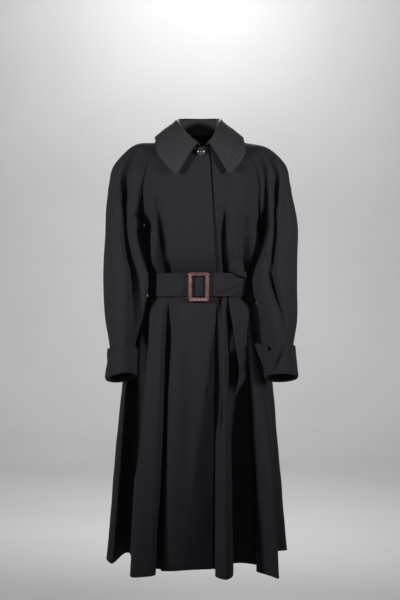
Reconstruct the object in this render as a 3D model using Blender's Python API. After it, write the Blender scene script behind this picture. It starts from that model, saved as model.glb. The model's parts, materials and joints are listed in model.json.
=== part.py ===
"""A belted raglan coat of black wool, in the hollow form that it takes when worn.

Metres, +Z up. The front faces -Y and the wearer's left is +X. The origin lies between the
shoulders, where the coat is held. Every cloth piece is a thin wall: its visible face is worked
out from the tables below, and the hidden face lies one cloth thickness behind it.
"""

import math
from collections import namedtuple

import bmesh
import bpy
import numpy as np

# Cloth thickness and the space left between sewn pieces
CLOTH = 0.0025
SEAM_GAP = 0.0005

# Two faces that meet at a seam share a direction when the cosine between them is over this
GENTLE_SEAM = 0.3
# Edges sharper than this are not smoothed over
SHARP_ANGLE = math.radians(50)
# Lengths under this count as none
TINY = 1e-12

# Heights. The fronts and the back are built in two lengths that meet behind the belt.
BLOUSE_TOP = -0.215
BELT_TOP = -0.328
WAIST_JOIN = -0.342
BELT_BOTTOM = -0.385
HEM = -1.077

# The belted waist, as an oval in plan
WAIST_HALF_WIDTH = 0.131
WAIST_HALF_DEPTH = 0.098
WAIST_Y = -0.006

# Shape of the trunk: squareness of its sections, and how they meet the raglan seams
SQUARE = 0.83
SEAM_TURN_NECK = math.radians(42)
SEAM_TURN_ARMPIT = math.radians(90)
BACK_NECK_RISE = 0.012
BLOUSE_POWER = 5.0
FOLD_TOP = -0.17
FOLD_FULL = -0.28

# Middle of the front and of the back at each height
Profile = namedtuple("Profile", "z front back")
PROFILES = [
    Profile(0.040, -0.098, 0.055),
    Profile(-0.010, -0.107, 0.084),
    Profile(-0.060, -0.128, 0.106),
    Profile(-0.120, -0.146, 0.117),
    Profile(-0.206, -0.152, 0.118),
    Profile(-0.280, -0.141, 0.110),
    Profile(-0.340, -0.122, 0.102),
]

# The lapping front edge slants from the neck to the belt
EDGE_NECK_X = 0.0195
EDGE_BELT_X = 0.0370

# Sections of the sleeves from neck to wrist: centre, slopes in degrees, half sizes, and how far
# round the arm the cloth reaches from the ridge to each raglan seam. x counts outward.
Station = namedtuple("Station", "name x y z tilt lean half_width half_depth wrap")
RIGHT_STATIONS = [
    Station("neck", 0.040, -0.017, -0.021, 58, 16, 0.058, 0.066, 55),
    Station("collar_edge", 0.104, -0.012, -0.050, 78, 5, 0.065, 0.096, 60),
    Station("shoulder", 0.128, -0.005, -0.069, 52, 0, 0.088, 0.092, 80),
    Station("upper_sleeve", 0.164, -0.006, -0.105, 43, 0, 0.085, 0.088, 105),
    Station("above_armpit", 0.190, -0.004, -0.147, 43, 0, 0.068, 0.080, 145),
    Station("armpit", 0.195, -0.005, -0.168, 38, 0, 0.061, 0.081, 180),
    Station("below_armpit", 0.1995, -0.018, -0.225, 12, -10, 0.0495, 0.074, 180),
    Station("above_elbow", 0.1965, -0.038, -0.290, 3, -14, 0.0535, 0.066, 180),
    Station("elbow", 0.1920, -0.054, -0.350, 0, -13, 0.0580, 0.061, 180),
    Station("forearm", 0.197, -0.070, -0.440, 0, -10, 0.048, 0.053, 180),
    Station("cuff_top", 0.200, -0.084, -0.518, -4, -12, 0.032, 0.047, 180),
    Station("sleeve_end", 0.201, -0.100, -0.583, -8, -14, 0.032, 0.047, 180),
]
LEFT_STATIONS = [
    Station("neck", 0.040, -0.017, -0.021, 58, 16, 0.058, 0.066, 55),
    Station("collar_edge", 0.102, -0.012, -0.052, 78, 5, 0.065, 0.096, 60),
    Station("shoulder", 0.130, -0.005, -0.069, 58, 0, 0.081, 0.092, 80),
    Station("upper_sleeve", 0.162, -0.006, -0.105, 46, 0, 0.082, 0.088, 105),
    Station("above_armpit", 0.186, -0.004, -0.147, 46, 0, 0.065, 0.080, 145),
    Station("armpit", 0.192, -0.005, -0.169, 39, 0, 0.058, 0.081, 180),
    Station("below_armpit", 0.2010, -0.022, -0.225, 12, -12, 0.0500, 0.074, 180),
    Station("above_elbow", 0.1950, -0.044, -0.290, 3, -16, 0.0530, 0.066, 180),
    Station("elbow", 0.1885, -0.064, -0.350, 0, -15, 0.0575, 0.061, 180),
    Station("forearm", 0.197, -0.088, -0.440, 0, -16, 0.047, 0.052, 180),
    Station("cuff_top", 0.201, -0.112, -0.516, 0, -17, 0.032, 0.044, 180),
    Station("sleeve_end", 0.201, -0.134, -0.582, 0, -15, 0.032, 0.044, 180),
]
ARMPIT_ROW = 5
WRIST_ROW = len(RIGHT_STATIONS) - 1

# Long folds in the sleeves: rows where they start and end, degrees from the ridge (front is
# negative), spread in degrees, and height over the plain sleeve
Fold = namedtuple("Fold", "name start end turn_start turn_end spread height")
RIGHT_FOLDS = [
    Fold("deep_valley", 1.8, 10.8, -50, -150, 22, -0.015),
    Fold("inner_ridge", 2.6, 9.8, -92, -170, 22, 0.006),
    Fold("outer_streak", 2.6, 9.2, -30, -58, 20, -0.004),
    Fold("back_valley", 3.6, 10.4, 70, 110, 26, -0.011),
]
LEFT_FOLDS = [
    Fold("front_valley", 1.8, 8.4, -60, -108, 22, -0.011),
    Fold("outer_ridge", 2.4, 7.0, -30, -62, 20, 0.005),
    Fold("elbow_hook", 7.0, 9.6, -130, -66, 22, -0.009),
    Fold("back_valley", 3.6, 10.4, 75, 115, 26, -0.011),
]
Sleeve = namedtuple("Sleeve", "name side stations folds")
# Power that fades the folds out at the raglan and underarm seams
FOLD_FADE = 8
RIGHT_SLEEVE = Sleeve("right_sleeve", -1, RIGHT_STATIONS, RIGHT_FOLDS)
LEFT_SLEEVE = Sleeve("left_sleeve", 1, LEFT_STATIONS, LEFT_FOLDS)

# Lines that run down the trunk from neck to hem. share: place across the panel; tuck: depth below
# the lapping front; inset: depth under the belt; fold: depth of a valley in the bodice; then the
# place at the hem, how far the hem is lifted there, and the share of the swing that the gathers
# give right below the belt.
Line = namedtuple("Line", "name share tuck inset fold hem_x hem_y lift kick")
RIGHT_SIDE = Line("right_side", 1.0, 0, 0.003, 0, -0.198, 0.050, 0.016, 0.40)
LEFT_SIDE = Line("left_side", 0.0, 0, 0.003, 0, 0.184, 0.062, 0.016, 0.60)
RIGHT_FRONT_LINES = [
    Line("front_edge", 0.00, 0, 0, 0, 0.030, -0.122, 0.006, 0.00),
    Line("centre", 0.22, 0, 0, 0, -0.020, -0.136, 0.006, 0.10),
    Line("pleat_edge", 0.44, 0, 0, -0.004, -0.111, -0.121, 0.005, 0.00),
    Line("pleat_valley", 0.505, 0, 0.004, 0.012, -0.117, -0.045, 0.012, 0.10),
    Line("fold_b_inner", 0.58, 0, 0, -0.002, -0.127, -0.188, 0.000, 0.20),
    Line("fold_b_outer", 0.76, 0, 0, 0.004, -0.161, -0.205, 0.000, 0.25),
    Line("fold_b_back", 0.89, 0, 0.002, 0, -0.173, -0.075, 0.002, 0.30),
    RIGHT_SIDE,
]
BACK_LINES = [
    RIGHT_SIDE._replace(share=0.0),
    Line("fold_a_front", 0.05, 0, 0, -0.003, -0.230, -0.002, -0.002, 0.50),
    Line("fold_a_side", 0.11, 0, 0, -0.009, -0.250, 0.060, 0.003, 0.50),
    Line("back_hollow_1", 0.19, 0, 0.003, 0.002, -0.210, 0.150, 0.006, 0.35),
    Line("back_fold_1", 0.27, 0, 0, 0, -0.186, 0.222, 0.000, 0.30),
    Line("back_hollow_2", 0.35, 0, 0.003, 0.005, -0.120, 0.172, 0.008, 0.25),
    Line("back_fold_2", 0.43, 0, 0, 0, -0.078, 0.240, 0.000, 0.25),
    Line("back_hollow_3", 0.50, 0, 0.003, 0.005, -0.012, 0.188, 0.006, 0.20),
    Line("back_fold_3", 0.57, 0, 0, 0, 0.034, 0.245, -0.002, 0.25),
    Line("back_hollow_4", 0.65, 0, 0.003, 0.004, 0.092, 0.180, 0.007, 0.25),
    Line("back_fold_4", 0.73, 0, 0, 0, 0.146, 0.232, 0.000, 0.30),
    Line("back_hollow_5", 0.81, 0, 0.003, 0.002, 0.172, 0.158, 0.006, 0.30),
    Line("fold_f", 0.91, 0, 0, -0.008, 0.229, 0.168, 0.004, 0.42),
    LEFT_SIDE._replace(share=1.0),
]
LEFT_FRONT_LINES = [
    LEFT_SIDE,
    Line("panel_e_corner", 0.24, 0, 0, 0, 0.183, -0.194, -0.0035, 0.06),
    Line("bodice_valley", 0.40, 0, 0, 0.010, 0.173, -0.172, -0.003, 0.06),
    Line("panel_e_middle", 0.52, 0, 0, -0.002, 0.154, -0.146, -0.002, 0.06),
    Line("panel_e_inner", 0.64, 0, 0, 0.002, 0.122, -0.096, -0.001, 0.06),
    Line("valley_d", 0.74, 0, 0.004, 0.009, 0.094, -0.057, 0.006, 0.10),
    Line("fold_d_outer", 0.83, 0, 0, 0.004, 0.086, -0.163, 0.000, 0.12),
    Line("fold_d_front", 0.885, 0, 0, 0, 0.058, -0.224, -0.002, 0.12),
    Line("fold_d_inner", 0.935, 0, 0.001, 0, 0.036, -0.198, 0.000, 0.12),
    Line("lap_turn", 1.00, 0.0075, 0, 0, 0.045, -0.128, 0.004, 0.05),
    Line("lap_middle", 1.17, 0.0075, 0, 0, 0.014, -0.108, 0.006, 0.05),
    Line("lap_edge", 1.42, 0.0075, 0, 0, -0.044, -0.116, 0.008, 0.05),
]
KICK_POWER = 14

# Rows of every trunk panel: yoke, bodice, behind the belt and skirt
YOKE_ROWS = np.linspace(0, ARMPIT_ROW, 9)
BODICE_HEIGHTS = [-0.250, -0.292, -0.314, -0.326, -0.334, WAIST_JOIN + SEAM_GAP / 2]
BELT_HEIGHTS = [WAIST_JOIN - SEAM_GAP / 2, BELT_BOTTOM]
SKIRT_SHARES = [0.06, 0.16, 0.32, 0.52, 0.76, 1.0]
SLEEVE_LOWER_ROWS = np.linspace(ARMPIT_ROW, WRIST_ROW, 13)[1:]
STEPS_PER_LINE = 3
BACK_STEPS_PER_LINE = 2
SLEEVE_HALF_STEPS = 9

# Turn-down collar: sewn edge, crease and outer edge at places from the front end to the back,
# for one side, with a sideways shift of the whole place
Place = namedtuple("Place", "name shift base crease edge")
COLLAR_PLACES = [
    Place("front_end", 0.005, (0.010, -0.106, -0.004), (0.014, -0.113, 0.001), (0.067, -0.148, -0.083)),
    Place("front", 0.001, (0.038, -0.094, -0.002), (0.034, -0.100, 0.021), (0.108, -0.124, -0.030)),
    Place("side_front", -0.004, (0.055, -0.062, 0.009), (0.049, -0.065, 0.049), (0.112, -0.064, 0.015)),
    Place("side", -0.006, (0.061, -0.016, 0.037), (0.056, -0.015, 0.070), (0.111, -0.010, 0.026)),
    Place("side_back", -0.003, (0.048, 0.036, 0.036), (0.047, 0.036, 0.079), (0.090, 0.066, 0.024)),
    Place("back", 0.000, (0.000, 0.056, 0.039), (0.000, 0.058, 0.081), (0.000, 0.104, 0.006)),
]
COLLAR_ROLL = 0.0055
COLLAR_RIBS = 46
COLLAR_RIB_HEIGHT = 0.0010
COLLAR_LEAF_ROWS = (5, 6)

# Turned-back cuffs, from the upper edge down: height over the fold, half sizes, sideways shift
CuffRow = namedtuple("CuffRow", "name height half_width half_depth shift")
RIGHT_CUFF = [
    CuffRow("upper_edge", 0.076, 0.0378, 0.0535, 0.000),
    CuffRow("bulge", 0.065, 0.0398, 0.0555, -0.001),
    CuffRow("middle", 0.045, 0.0388, 0.0545, -0.001),
    CuffRow("lower", 0.020, 0.0405, 0.0560, 0.001),
]
LEFT_CUFF = [
    CuffRow("upper_edge", 0.080, 0.0500, 0.0560, -0.012),
    CuffRow("upper", 0.062, 0.0485, 0.0550, -0.009),
    CuffRow("middle", 0.042, 0.0455, 0.0540, -0.004),
    CuffRow("lower", 0.020, 0.0430, 0.0530, 0.000),
]
CUFF_BELOW_SLEEVE = 0.009
CUFF_COLUMNS = 20

# Belt, its buckle and its hanging end
BELT_CLOTH = 0.003
BELT_STAND_OFF = 0.0085
BELT_START_TURN = 6.0
BELT_END_TURN = -353.2
BELT_COLUMNS = 52
TAIL_STAND_OFF = 0.0038
TAIL_TURN_LEFT = 32.0
TAIL_TURN_RIGHT = 49.0
TAIL_TUCK_HEIGHTS = [-0.352, -0.386]
TAIL_COLUMNS = 5
TailRow = namedtuple("TailRow", "z left_x left_y right_x right_y")
TAIL_ROWS = [
    TailRow(-0.420, 0.074, -0.110, 0.110, -0.090),
    TailRow(-0.470, 0.081, -0.121, 0.113, -0.102),
    TailRow(-0.522, 0.090, -0.129, 0.115, -0.113),
    TailRow(-0.560, 0.096, -0.135, 0.115, -0.119),
    TailRow(-0.600, 0.092, -0.142, 0.111, -0.126),
    TailRow(-0.630, 0.086, -0.147, 0.101, -0.132),
]
BUCKLE_X = -0.006
BUCKLE_Z = -0.362
BUCKLE_WIDTH = 0.053
BUCKLE_HEIGHT = 0.074
BUCKLE_BAR = 0.0105
BUCKLE_DEPTH = 0.0055
BUCKLE_CORNER = 0.009
BUCKLE_GAP = 0.0006
BUCKLE_SQUARE = 0.6
BUCKLE_CORNER_STEPS = 3
BUCKLE_SECTION_STEPS = 8

# Neck button
BUTTON_X = -0.0005
BUTTON_Z = -0.022
BUTTON_RADIUS = 0.010
BUTTON_DEPTH = 0.0045
BUTTON_GAP = 0.0008
BUTTON_SIDES = 24
# Rings from the back to the front: share of the radius, share of the depth
ButtonRing = namedtuple("ButtonRing", "name radius depth")
BUTTON_RINGS = [
    ButtonRing("back", 0.86, 0.00),
    ButtonRing("widest", 1.00, 0.35),
    ButtonRing("rim_outside", 0.94, 0.80),
    ButtonRing("rim_top", 0.72, 0.90),
    ButtonRing("rim_inside", 0.55, 0.72),
]

# Colours: linear red, green, blue, then roughness
WOOL = ("wool", (0.018, 0.018, 0.020), 0.90)
COLLAR_CLOTH = ("collar_cloth", (0.035, 0.035, 0.038), 0.55)
TORTOISESHELL = ("tortoiseshell", (0.22, 0.06, 0.035), 0.18)
BUTTON_PLASTIC = ("button_plastic", (0.012, 0.012, 0.013), 0.15)


def unit(vectors):
    """Vectors scaled to length one."""
    lengths = np.linalg.norm(vectors, axis=-1, keepdims=True)
    return vectors / np.maximum(lengths, TINY)


def ease(start, end, value):
    """Smooth step from 0 at start to 1 at end."""
    t = min(max((value - start) / (end - start), 0.0), 1.0)
    return t * t * (3 - 2 * t)


def hermite(start, end, slope_start, slope_end, t):
    """Cubic from start to end with the given slopes."""
    rise = t * t * (3 - 2 * t)
    return (
        start * (1 - rise)
        + end * rise
        + slope_start * (t * (1 - t) ** 2)
        - slope_end * (t * t * (1 - t))
    )


def curve_through(points, per_gap, before=None, after=None):
    """Smooth curve through points, per_gap steps in each gap; before and after only guide its ends."""
    whole = np.array([p for p in (before, *points, after) if p is not None])
    chords = np.linalg.norm(np.diff(whole, axis=0), axis=1)[:, None]
    steps = np.diff(whole, axis=0) / chords
    slopes = np.empty_like(whole)
    slopes[0] = steps[0]
    slopes[-1] = steps[-1]
    slopes[1:-1] = (steps[:-1] * chords[1:] + steps[1:] * chords[:-1]) / (chords[:-1] + chords[1:])
    first = 0 if before is None else 1
    last = first + len(points) - 1
    samples = []
    for gap in range(first, last):
        for step in range(per_gap):
            samples.append(
                hermite(
                    whole[gap],
                    whole[gap + 1],
                    slopes[gap] * chords[gap],
                    slopes[gap + 1] * chords[gap],
                    step / per_gap,
                )
            )
    samples.append(whole[last])
    return np.array(samples)


def table_at(places, values, place):
    """Smoothly changing value of a table, given at rising places."""
    places = np.asarray(places, dtype=float)
    values = np.asarray(values, dtype=float)
    place = min(max(place, places[0]), places[-1])
    index = min(int(np.searchsorted(places, place, side="right")) - 1, len(places) - 2)
    slopes = np.gradient(values, places, axis=0)
    width = places[index + 1] - places[index]
    return hermite(
        values[index],
        values[index + 1],
        slopes[index] * width,
        slopes[index + 1] * width,
        (place - places[index]) / width,
    )


def profile_at(z):
    """Middle of the front and of the back at a height."""
    rising = PROFILES[::-1]
    return table_at([row.z for row in rising], [(row.front, row.back) for row in rising], z)


# Sleeves


def sleeve_frame(sleeve, place):
    """Centre, outward and backward half axes, and wrap of a sleeve section."""
    rows = [row[1:] for row in sleeve.stations]
    x, y, z, tilt, lean, half_width, half_depth, wrap = table_at(range(len(rows)), rows, place)
    tilt = math.radians(tilt)
    lean = math.radians(lean)
    centre = np.array([sleeve.side * x, y, z])
    outward = np.array([sleeve.side * math.cos(tilt), 0, math.sin(tilt)])
    backward = np.array([0, math.cos(lean), math.sin(lean)])
    return centre, outward * half_width, backward * half_depth, math.radians(min(wrap, 180))


def fold_height(folds, place, turn):
    """Height of all folds over the plain sleeve."""
    height = 0.0
    for fold in folds:
        along = (place - fold.start) / (fold.end - fold.start)
        if 0 < along < 1:
            middle = math.radians(fold.turn_start + (fold.turn_end - fold.turn_start) * along)
            off = (turn - middle) / math.radians(fold.spread)
            height += fold.height * math.exp(-off * off) * math.sin(math.pi * along)
    return height


def sleeve_point(sleeve, place, share):
    """Point of the sleeve; share runs from -1 at the front seam over 0 on the ridge to 1."""
    centre, outward, backward, wrap = sleeve_frame(sleeve, place)
    turn = wrap * share
    swell = fold_height(sleeve.folds, place, turn) * (1 - share**FOLD_FADE)
    direction = outward * math.cos(turn) + backward * math.sin(turn)
    return centre + direction + unit(direction) * swell


def sleeve_direction(sleeve, place, share):
    """Outward direction of the plain sleeve section."""
    _, outward, backward, wrap = sleeve_frame(sleeve, place)
    turn = wrap * share
    out = outward / np.dot(outward, outward)
    rear = backward / np.dot(backward, backward)
    return unit(out * math.cos(turn) + rear * math.sin(turn))


def sleeve_grid(sleeve, value_at):
    """Points or directions in rows down the sleeve, from the front seam round to the back seam."""
    places = [*YOKE_ROWS, *SLEEVE_LOWER_ROWS]
    shares = np.linspace(-1, 1, 2 * SLEEVE_HALF_STEPS + 1)
    return np.array([[value_at(sleeve, place, share) for share in shares] for place in places])


# Trunk panels


def quarter_point(share, seam, middle, seam_turn):
    """Point of a rounded section: share 0 at the middle line, -1 or 1 at the seam."""
    turn = min(abs(share), 1.0) * seam_turn
    wide = abs(seam[0]) / math.sin(seam_turn) ** SQUARE
    deep = (seam[1] - middle) / (1 - math.cos(seam_turn) ** SQUARE)
    x = math.copysign(wide * math.sin(turn) ** SQUARE, share)
    return np.array([x, middle + deep * (1 - max(math.cos(turn), 0.0) ** SQUARE), seam[2]])


def edge_share(z, seam, seam_turn):
    """Share of the section at which the lapping front edge lies."""
    along = (BELT_TOP - z) / BELT_TOP
    edge_x = EDGE_BELT_X + (EDGE_NECK_X - EDGE_BELT_X) * min(max(along, 0.0), 1.0)
    wide = abs(seam[0]) / math.sin(seam_turn) ** SQUARE
    return math.asin((edge_x / wide) ** (1 / SQUARE)) / seam_turn


def waist_point(turn_degrees, stand_off, z):
    """Point on the waist oval, moved out by stand_off; turn 0 at the front, 90 at the left side."""
    turn = math.radians(turn_degrees)
    x = (WAIST_HALF_WIDTH + stand_off) * math.sin(turn)
    y = WAIST_Y - (WAIST_HALF_DEPTH + stand_off) * math.cos(turn)
    return np.array([x, y, z])


def moved_in(point, depth):
    """Point moved towards the upright axis of the coat."""
    inward = unit(np.array([-point[0], WAIST_Y - point[1], 0]))
    return point + inward * depth


def right_front_share(share, edge):
    """Share of the section for a place across the right front, from its front edge to its seam."""
    return edge * (1 - share) - share


def left_front_share(share, edge):
    """Share of the section for a place across the left front, from its seam to under the lap."""
    return 1 - (1 - edge) * share


def back_share(share, _):
    """Share of the section for a place across the back, from the right seam to the left."""
    return 2 * share - 1


Panel = namedtuple("Panel", "name lines place_share is_back steps")
RIGHT_FRONT = Panel("right_front", RIGHT_FRONT_LINES, right_front_share, False, STEPS_PER_LINE)
BACK = Panel("back", BACK_LINES, back_share, True, BACK_STEPS_PER_LINE)
LEFT_FRONT = Panel("left_front", LEFT_FRONT_LINES, left_front_share, False, STEPS_PER_LINE)


def seam_sleeve(panel, share):
    """Sleeve whose raglan seam bounds the panel on that side."""
    if panel.is_back:
        return RIGHT_SLEEVE if share < 0 else LEFT_SLEEVE
    return RIGHT_SLEEVE if panel is RIGHT_FRONT else LEFT_SLEEVE


def section_point(panel, line, place, height=None):
    """Point of a line above the belt; below the armpit the armpit's section goes on at a height."""
    side = line.share - 0.5
    seam = sleeve_point(seam_sleeve(panel, side), place, 1.0 if panel.is_back else -1.0)
    if height is not None:
        seam[2] = height
    front, back = profile_at(seam[2])
    above = 1 - place / ARMPIT_ROW
    seam_turn = SEAM_TURN_ARMPIT + (SEAM_TURN_NECK - SEAM_TURN_ARMPIT) * above
    share = panel.place_share(line.share, edge_share(seam[2], seam, seam_turn))
    point = quarter_point(share, seam, back if panel.is_back else front, seam_turn)
    if panel.is_back:
        point[2] += BACK_NECK_RISE * above * math.cos(share * math.pi / 2) ** 2
    return moved_in(point, line.tuck + line.fold * ease(FOLD_TOP, FOLD_FULL, seam[2]))


def belted_point(panel, line, z):
    """Point of a line where the belt draws the cloth in."""
    edge = math.asin(EDGE_BELT_X / WAIST_HALF_WIDTH) / (math.pi / 2)
    share = panel.place_share(line.share, edge)
    turn = 180 - 90 * share if panel.is_back else 90 * share
    return waist_point(turn, -line.tuck - line.inset, z)


def bodice_point(panel, line, z):
    """Point of a line between armpit and belt, where the cloth blouses over the belt."""
    drawn = min((BLOUSE_TOP - z) / (BLOUSE_TOP - BELT_TOP), 1.0)
    drawn = max(drawn, 0.0) ** BLOUSE_POWER
    full = section_point(panel, line, ARMPIT_ROW, z)
    return full * (1 - drawn) + belted_point(panel, line, z) * drawn


def skirt_point(panel, line, share):
    """Point of a line between belt and hem, where the skirt swings out."""
    top = belted_point(panel, line, BELT_BOTTOM)
    hem = np.array([line.hem_x, line.hem_y, HEM + line.lift])
    out = line.kick * (1 - (1 - share) ** KICK_POWER) + (1 - line.kick) * share
    return top + (hem - top) * np.array([out, out, share])


def panel_rows(panel):
    """Points of every line of a panel, row by row from neck to hem."""
    rows = [[section_point(panel, line, place) for line in panel.lines] for place in YOKE_ROWS]
    rows += [[bodice_point(panel, line, z) for line in panel.lines] for z in (*BODICE_HEIGHTS, *BELT_HEIGHTS)]
    rows += [[skirt_point(panel, line, share) for line in panel.lines] for share in SKIRT_SHARES]
    return np.array(rows)


def panel_grid(panel, rows, rows_before=None, rows_after=None):
    """Finer points of a panel; below the armpit its neighbours guide the curve across the seams."""
    grid = []
    for index, row in enumerate(rows):
        joined = index >= len(YOKE_ROWS)
        before = rows_before[index][-2] if joined and rows_before is not None else None
        after = rows_after[index][1] if joined and rows_after is not None else None
        grid.append(curve_through(row, panel.steps, before, after))
    return np.array(grid)


# Walls


def face_directions(grid, closed=False):
    """Outward direction at every point of a grid whose columns run clockwise seen from above."""
    if closed:
        across = np.roll(grid, -1, axis=1) - np.roll(grid, 1, axis=1)
    else:
        across = np.gradient(grid, axis=1)
    down = np.gradient(grid, axis=0)
    return unit(np.cross(across, down))


def share_directions(first, second):
    """Gives two pieces the same direction along their seam, unless they meet at a sharp angle."""
    middle = unit(first + second)
    gentle = np.sum(first * second, axis=-1, keepdims=True) > GENTLE_SEAM
    first[:] = np.where(gentle, middle, first)
    second[:] = np.where(gentle, middle, second)


def trimmed(grid, columns):
    """Copy of a grid whose named end columns stop half a seam gap short."""
    grid = grid.copy()
    for column in columns:
        neighbour = 1 if column == 0 else -2
        inward = unit(grid[:, neighbour] - grid[:, column])
        grid[:, column] += inward * SEAM_GAP / 2
    return grid


def wall_faces(rows, columns, closed):
    """Triangles of a wall: visible face, hidden face and the rims between them."""
    hidden = rows * columns
    faces = []

    def quad(a, b, c, d):
        faces.append((a, b, c))
        faces.append((a, c, d))

    def at(row, column):
        return row * columns + column % columns

    last_column = columns if closed else columns - 1
    for row in range(rows - 1):
        for column in range(last_column):
            a = at(row, column)
            b = at(row, column + 1)
            c = at(row + 1, column + 1)
            d = at(row + 1, column)
            quad(a, b, c, d)
            quad(a + hidden, d + hidden, c + hidden, b + hidden)
    for column in range(last_column):
        for row in (0, rows - 1):
            a = at(row, column)
            b = at(row, column + 1)
            quad(a, a + hidden, b + hidden, b)
    if not closed:
        for row in range(rows - 1):
            for column in (0, columns - 1):
                a = at(row, column)
                b = at(row + 1, column)
                quad(a, b, b + hidden, a + hidden)
    return faces


def add_object(name, points, faces, stuff):
    """One closed body with its own material, its faces turned outward."""
    mesh = bpy.data.meshes.new(name)
    mesh.from_pydata([tuple(point) for point in points], [], faces)
    shell = bmesh.new()
    shell.from_mesh(mesh)
    bmesh.ops.recalc_face_normals(shell, faces=shell.faces)
    if shell.calc_volume(signed=True) < 0:
        bmesh.ops.reverse_faces(shell, faces=shell.faces)
    shell.to_mesh(mesh)
    shell.free()
    mesh.shade_smooth()
    mesh.set_sharp_from_angle(angle=SHARP_ANGLE)
    slot, colour, roughness = stuff
    material = bpy.data.materials.new(f"{name}_{slot}")
    material.use_nodes = True
    shader = material.node_tree.nodes["Principled BSDF"]
    shader.inputs["Base Color"].default_value = (*colour, 1)
    shader.inputs["Roughness"].default_value = roughness
    shader.inputs["Metallic"].default_value = 0
    mesh.materials.append(material)
    body = bpy.data.objects.new(name, mesh)
    bpy.context.scene.collection.objects.link(body)
    return body


def add_wall(name, visible, directions, stuff, thickness=CLOTH, closed=False):
    """Cloth wall behind a grid of visible points."""
    hidden = visible - directions * thickness
    rows, columns = visible.shape[:2]
    points = np.concatenate([visible.reshape(-1, 3), hidden.reshape(-1, 3)])
    return add_object(name, points, wall_faces(rows, columns, closed), stuff)


# The coat's pieces


def add_trunk_and_sleeves():
    """Fronts and back, each in a bodice and a skirt length, and the sleeves that share their seams."""
    panels = (RIGHT_FRONT, BACK, LEFT_FRONT)
    lines = [panel_rows(panel) for panel in panels]
    right_front = panel_grid(RIGHT_FRONT, lines[0], rows_after=lines[1])
    back = panel_grid(BACK, lines[1], rows_before=lines[0], rows_after=lines[2])
    left_front = panel_grid(LEFT_FRONT, lines[2], rows_before=lines[1])
    sleeves = [sleeve_grid(sleeve, sleeve_point) for sleeve in (RIGHT_SLEEVE, LEFT_SLEEVE)]
    trunk_faces = [face_directions(grid) for grid in (right_front, back, left_front)]
    sleeve_faces = [sleeve_grid(sleeve, sleeve_direction) for sleeve in (RIGHT_SLEEVE, LEFT_SLEEVE)]
    yoke = len(YOKE_ROWS)
    share_directions(trunk_faces[0][yoke:, -1], trunk_faces[1][yoke:, 0])
    share_directions(trunk_faces[1][yoke:, -1], trunk_faces[2][yoke:, 0])
    share_directions(trunk_faces[0][:yoke, -1], sleeve_faces[0][:yoke, 0])
    share_directions(trunk_faces[1][:yoke, 0], sleeve_faces[0][:yoke, -1])
    share_directions(trunk_faces[2][:yoke, 0], sleeve_faces[1][:yoke, 0])
    share_directions(trunk_faces[1][:yoke, -1], sleeve_faces[1][:yoke, -1])
    trunk = [
        trimmed(right_front, columns=(-1,)),
        trimmed(back, columns=(0, -1)),
        trimmed(left_front, columns=(0,)),
    ]
    waist = yoke + len(BODICE_HEIGHTS)
    for panel, grid, faces in zip(panels, trunk, trunk_faces):
        add_wall(f"{panel.name}_bodice", grid[:waist], faces[:waist], WOOL)
        add_wall(f"{panel.name}_skirt", grid[waist:], faces[waist:], WOOL)
    half = SLEEVE_HALF_STEPS + 1
    for sleeve, grid, faces in zip((RIGHT_SLEEVE, LEFT_SLEEVE), sleeves, sleeve_faces):
        front = trimmed(grid[:, :half], columns=(0, -1))
        rear = trimmed(grid[:, half - 1 :], columns=(0, -1))
        add_wall(f"{sleeve.name}_front", front, faces[:, :half], WOOL)
        add_wall(f"{sleeve.name}_back", rear, faces[:, half - 1 :], WOOL)


def add_cuff(name, sleeve, cuff_rows):
    """Cuff that goes on from the sleeve's end, turns over a fold and stands up outside the sleeve."""
    centre, outward, backward, _ = sleeve_frame(sleeve, WRIST_ROW)
    out = unit(outward)
    rear = unit(backward)
    up = unit(sleeve_frame(sleeve, WRIST_ROW - 1)[0] - centre)
    lower = cuff_rows[-1]
    inner_width = np.linalg.norm(outward) - CLOTH
    inner_depth = np.linalg.norm(backward) - CLOTH
    roll = (lower.half_width - inner_width) / 2
    middle_width = lower.half_width - roll
    middle_depth = (lower.half_depth + inner_depth) / 2
    fold_rows = [
        CuffRow("above_fold", roll, lower.half_width, lower.half_depth, lower.shift),
        CuffRow("fold", 0, middle_width, middle_depth, lower.shift / 2),
        CuffRow("inside_fold", roll, inner_width, inner_depth, 0),
        CuffRow("join", CUFF_BELOW_SLEEVE - SEAM_GAP, inner_width, inner_depth, 0),
    ]
    grid = []
    for row in [*cuff_rows, *fold_rows]:
        level = centre + up * (row.height - CUFF_BELOW_SLEEVE) + out * row.shift
        turns = np.linspace(0, 2 * math.pi, CUFF_COLUMNS, endpoint=False)
        ring = [
            level + out * row.half_width * math.cos(turn) + rear * row.half_depth * math.sin(turn)
            for turn in turns
        ]
        grid.append(ring)
    grid = np.array(grid)
    add_wall(name, grid, -sleeve.side * face_directions(grid, closed=True), WOOL, closed=True)


def collar_profile(base, crease, edge):
    """Points across the collar: up the stand, over the crease, down the leaf."""
    outward = edge - crease
    outward = unit(np.array([outward[0], outward[1], 0]))
    drop = np.array([0, 0, COLLAR_ROLL])
    inside = crease - outward * COLLAR_ROLL - drop
    outside = crease + outward * COLLAR_ROLL - drop
    belly = outward * COLLAR_ROLL / 2
    return [
        base,
        (base + inside) / 2,
        inside,
        crease,
        outside,
        (outside + edge) / 2 + belly,
        edge,
    ]


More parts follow.
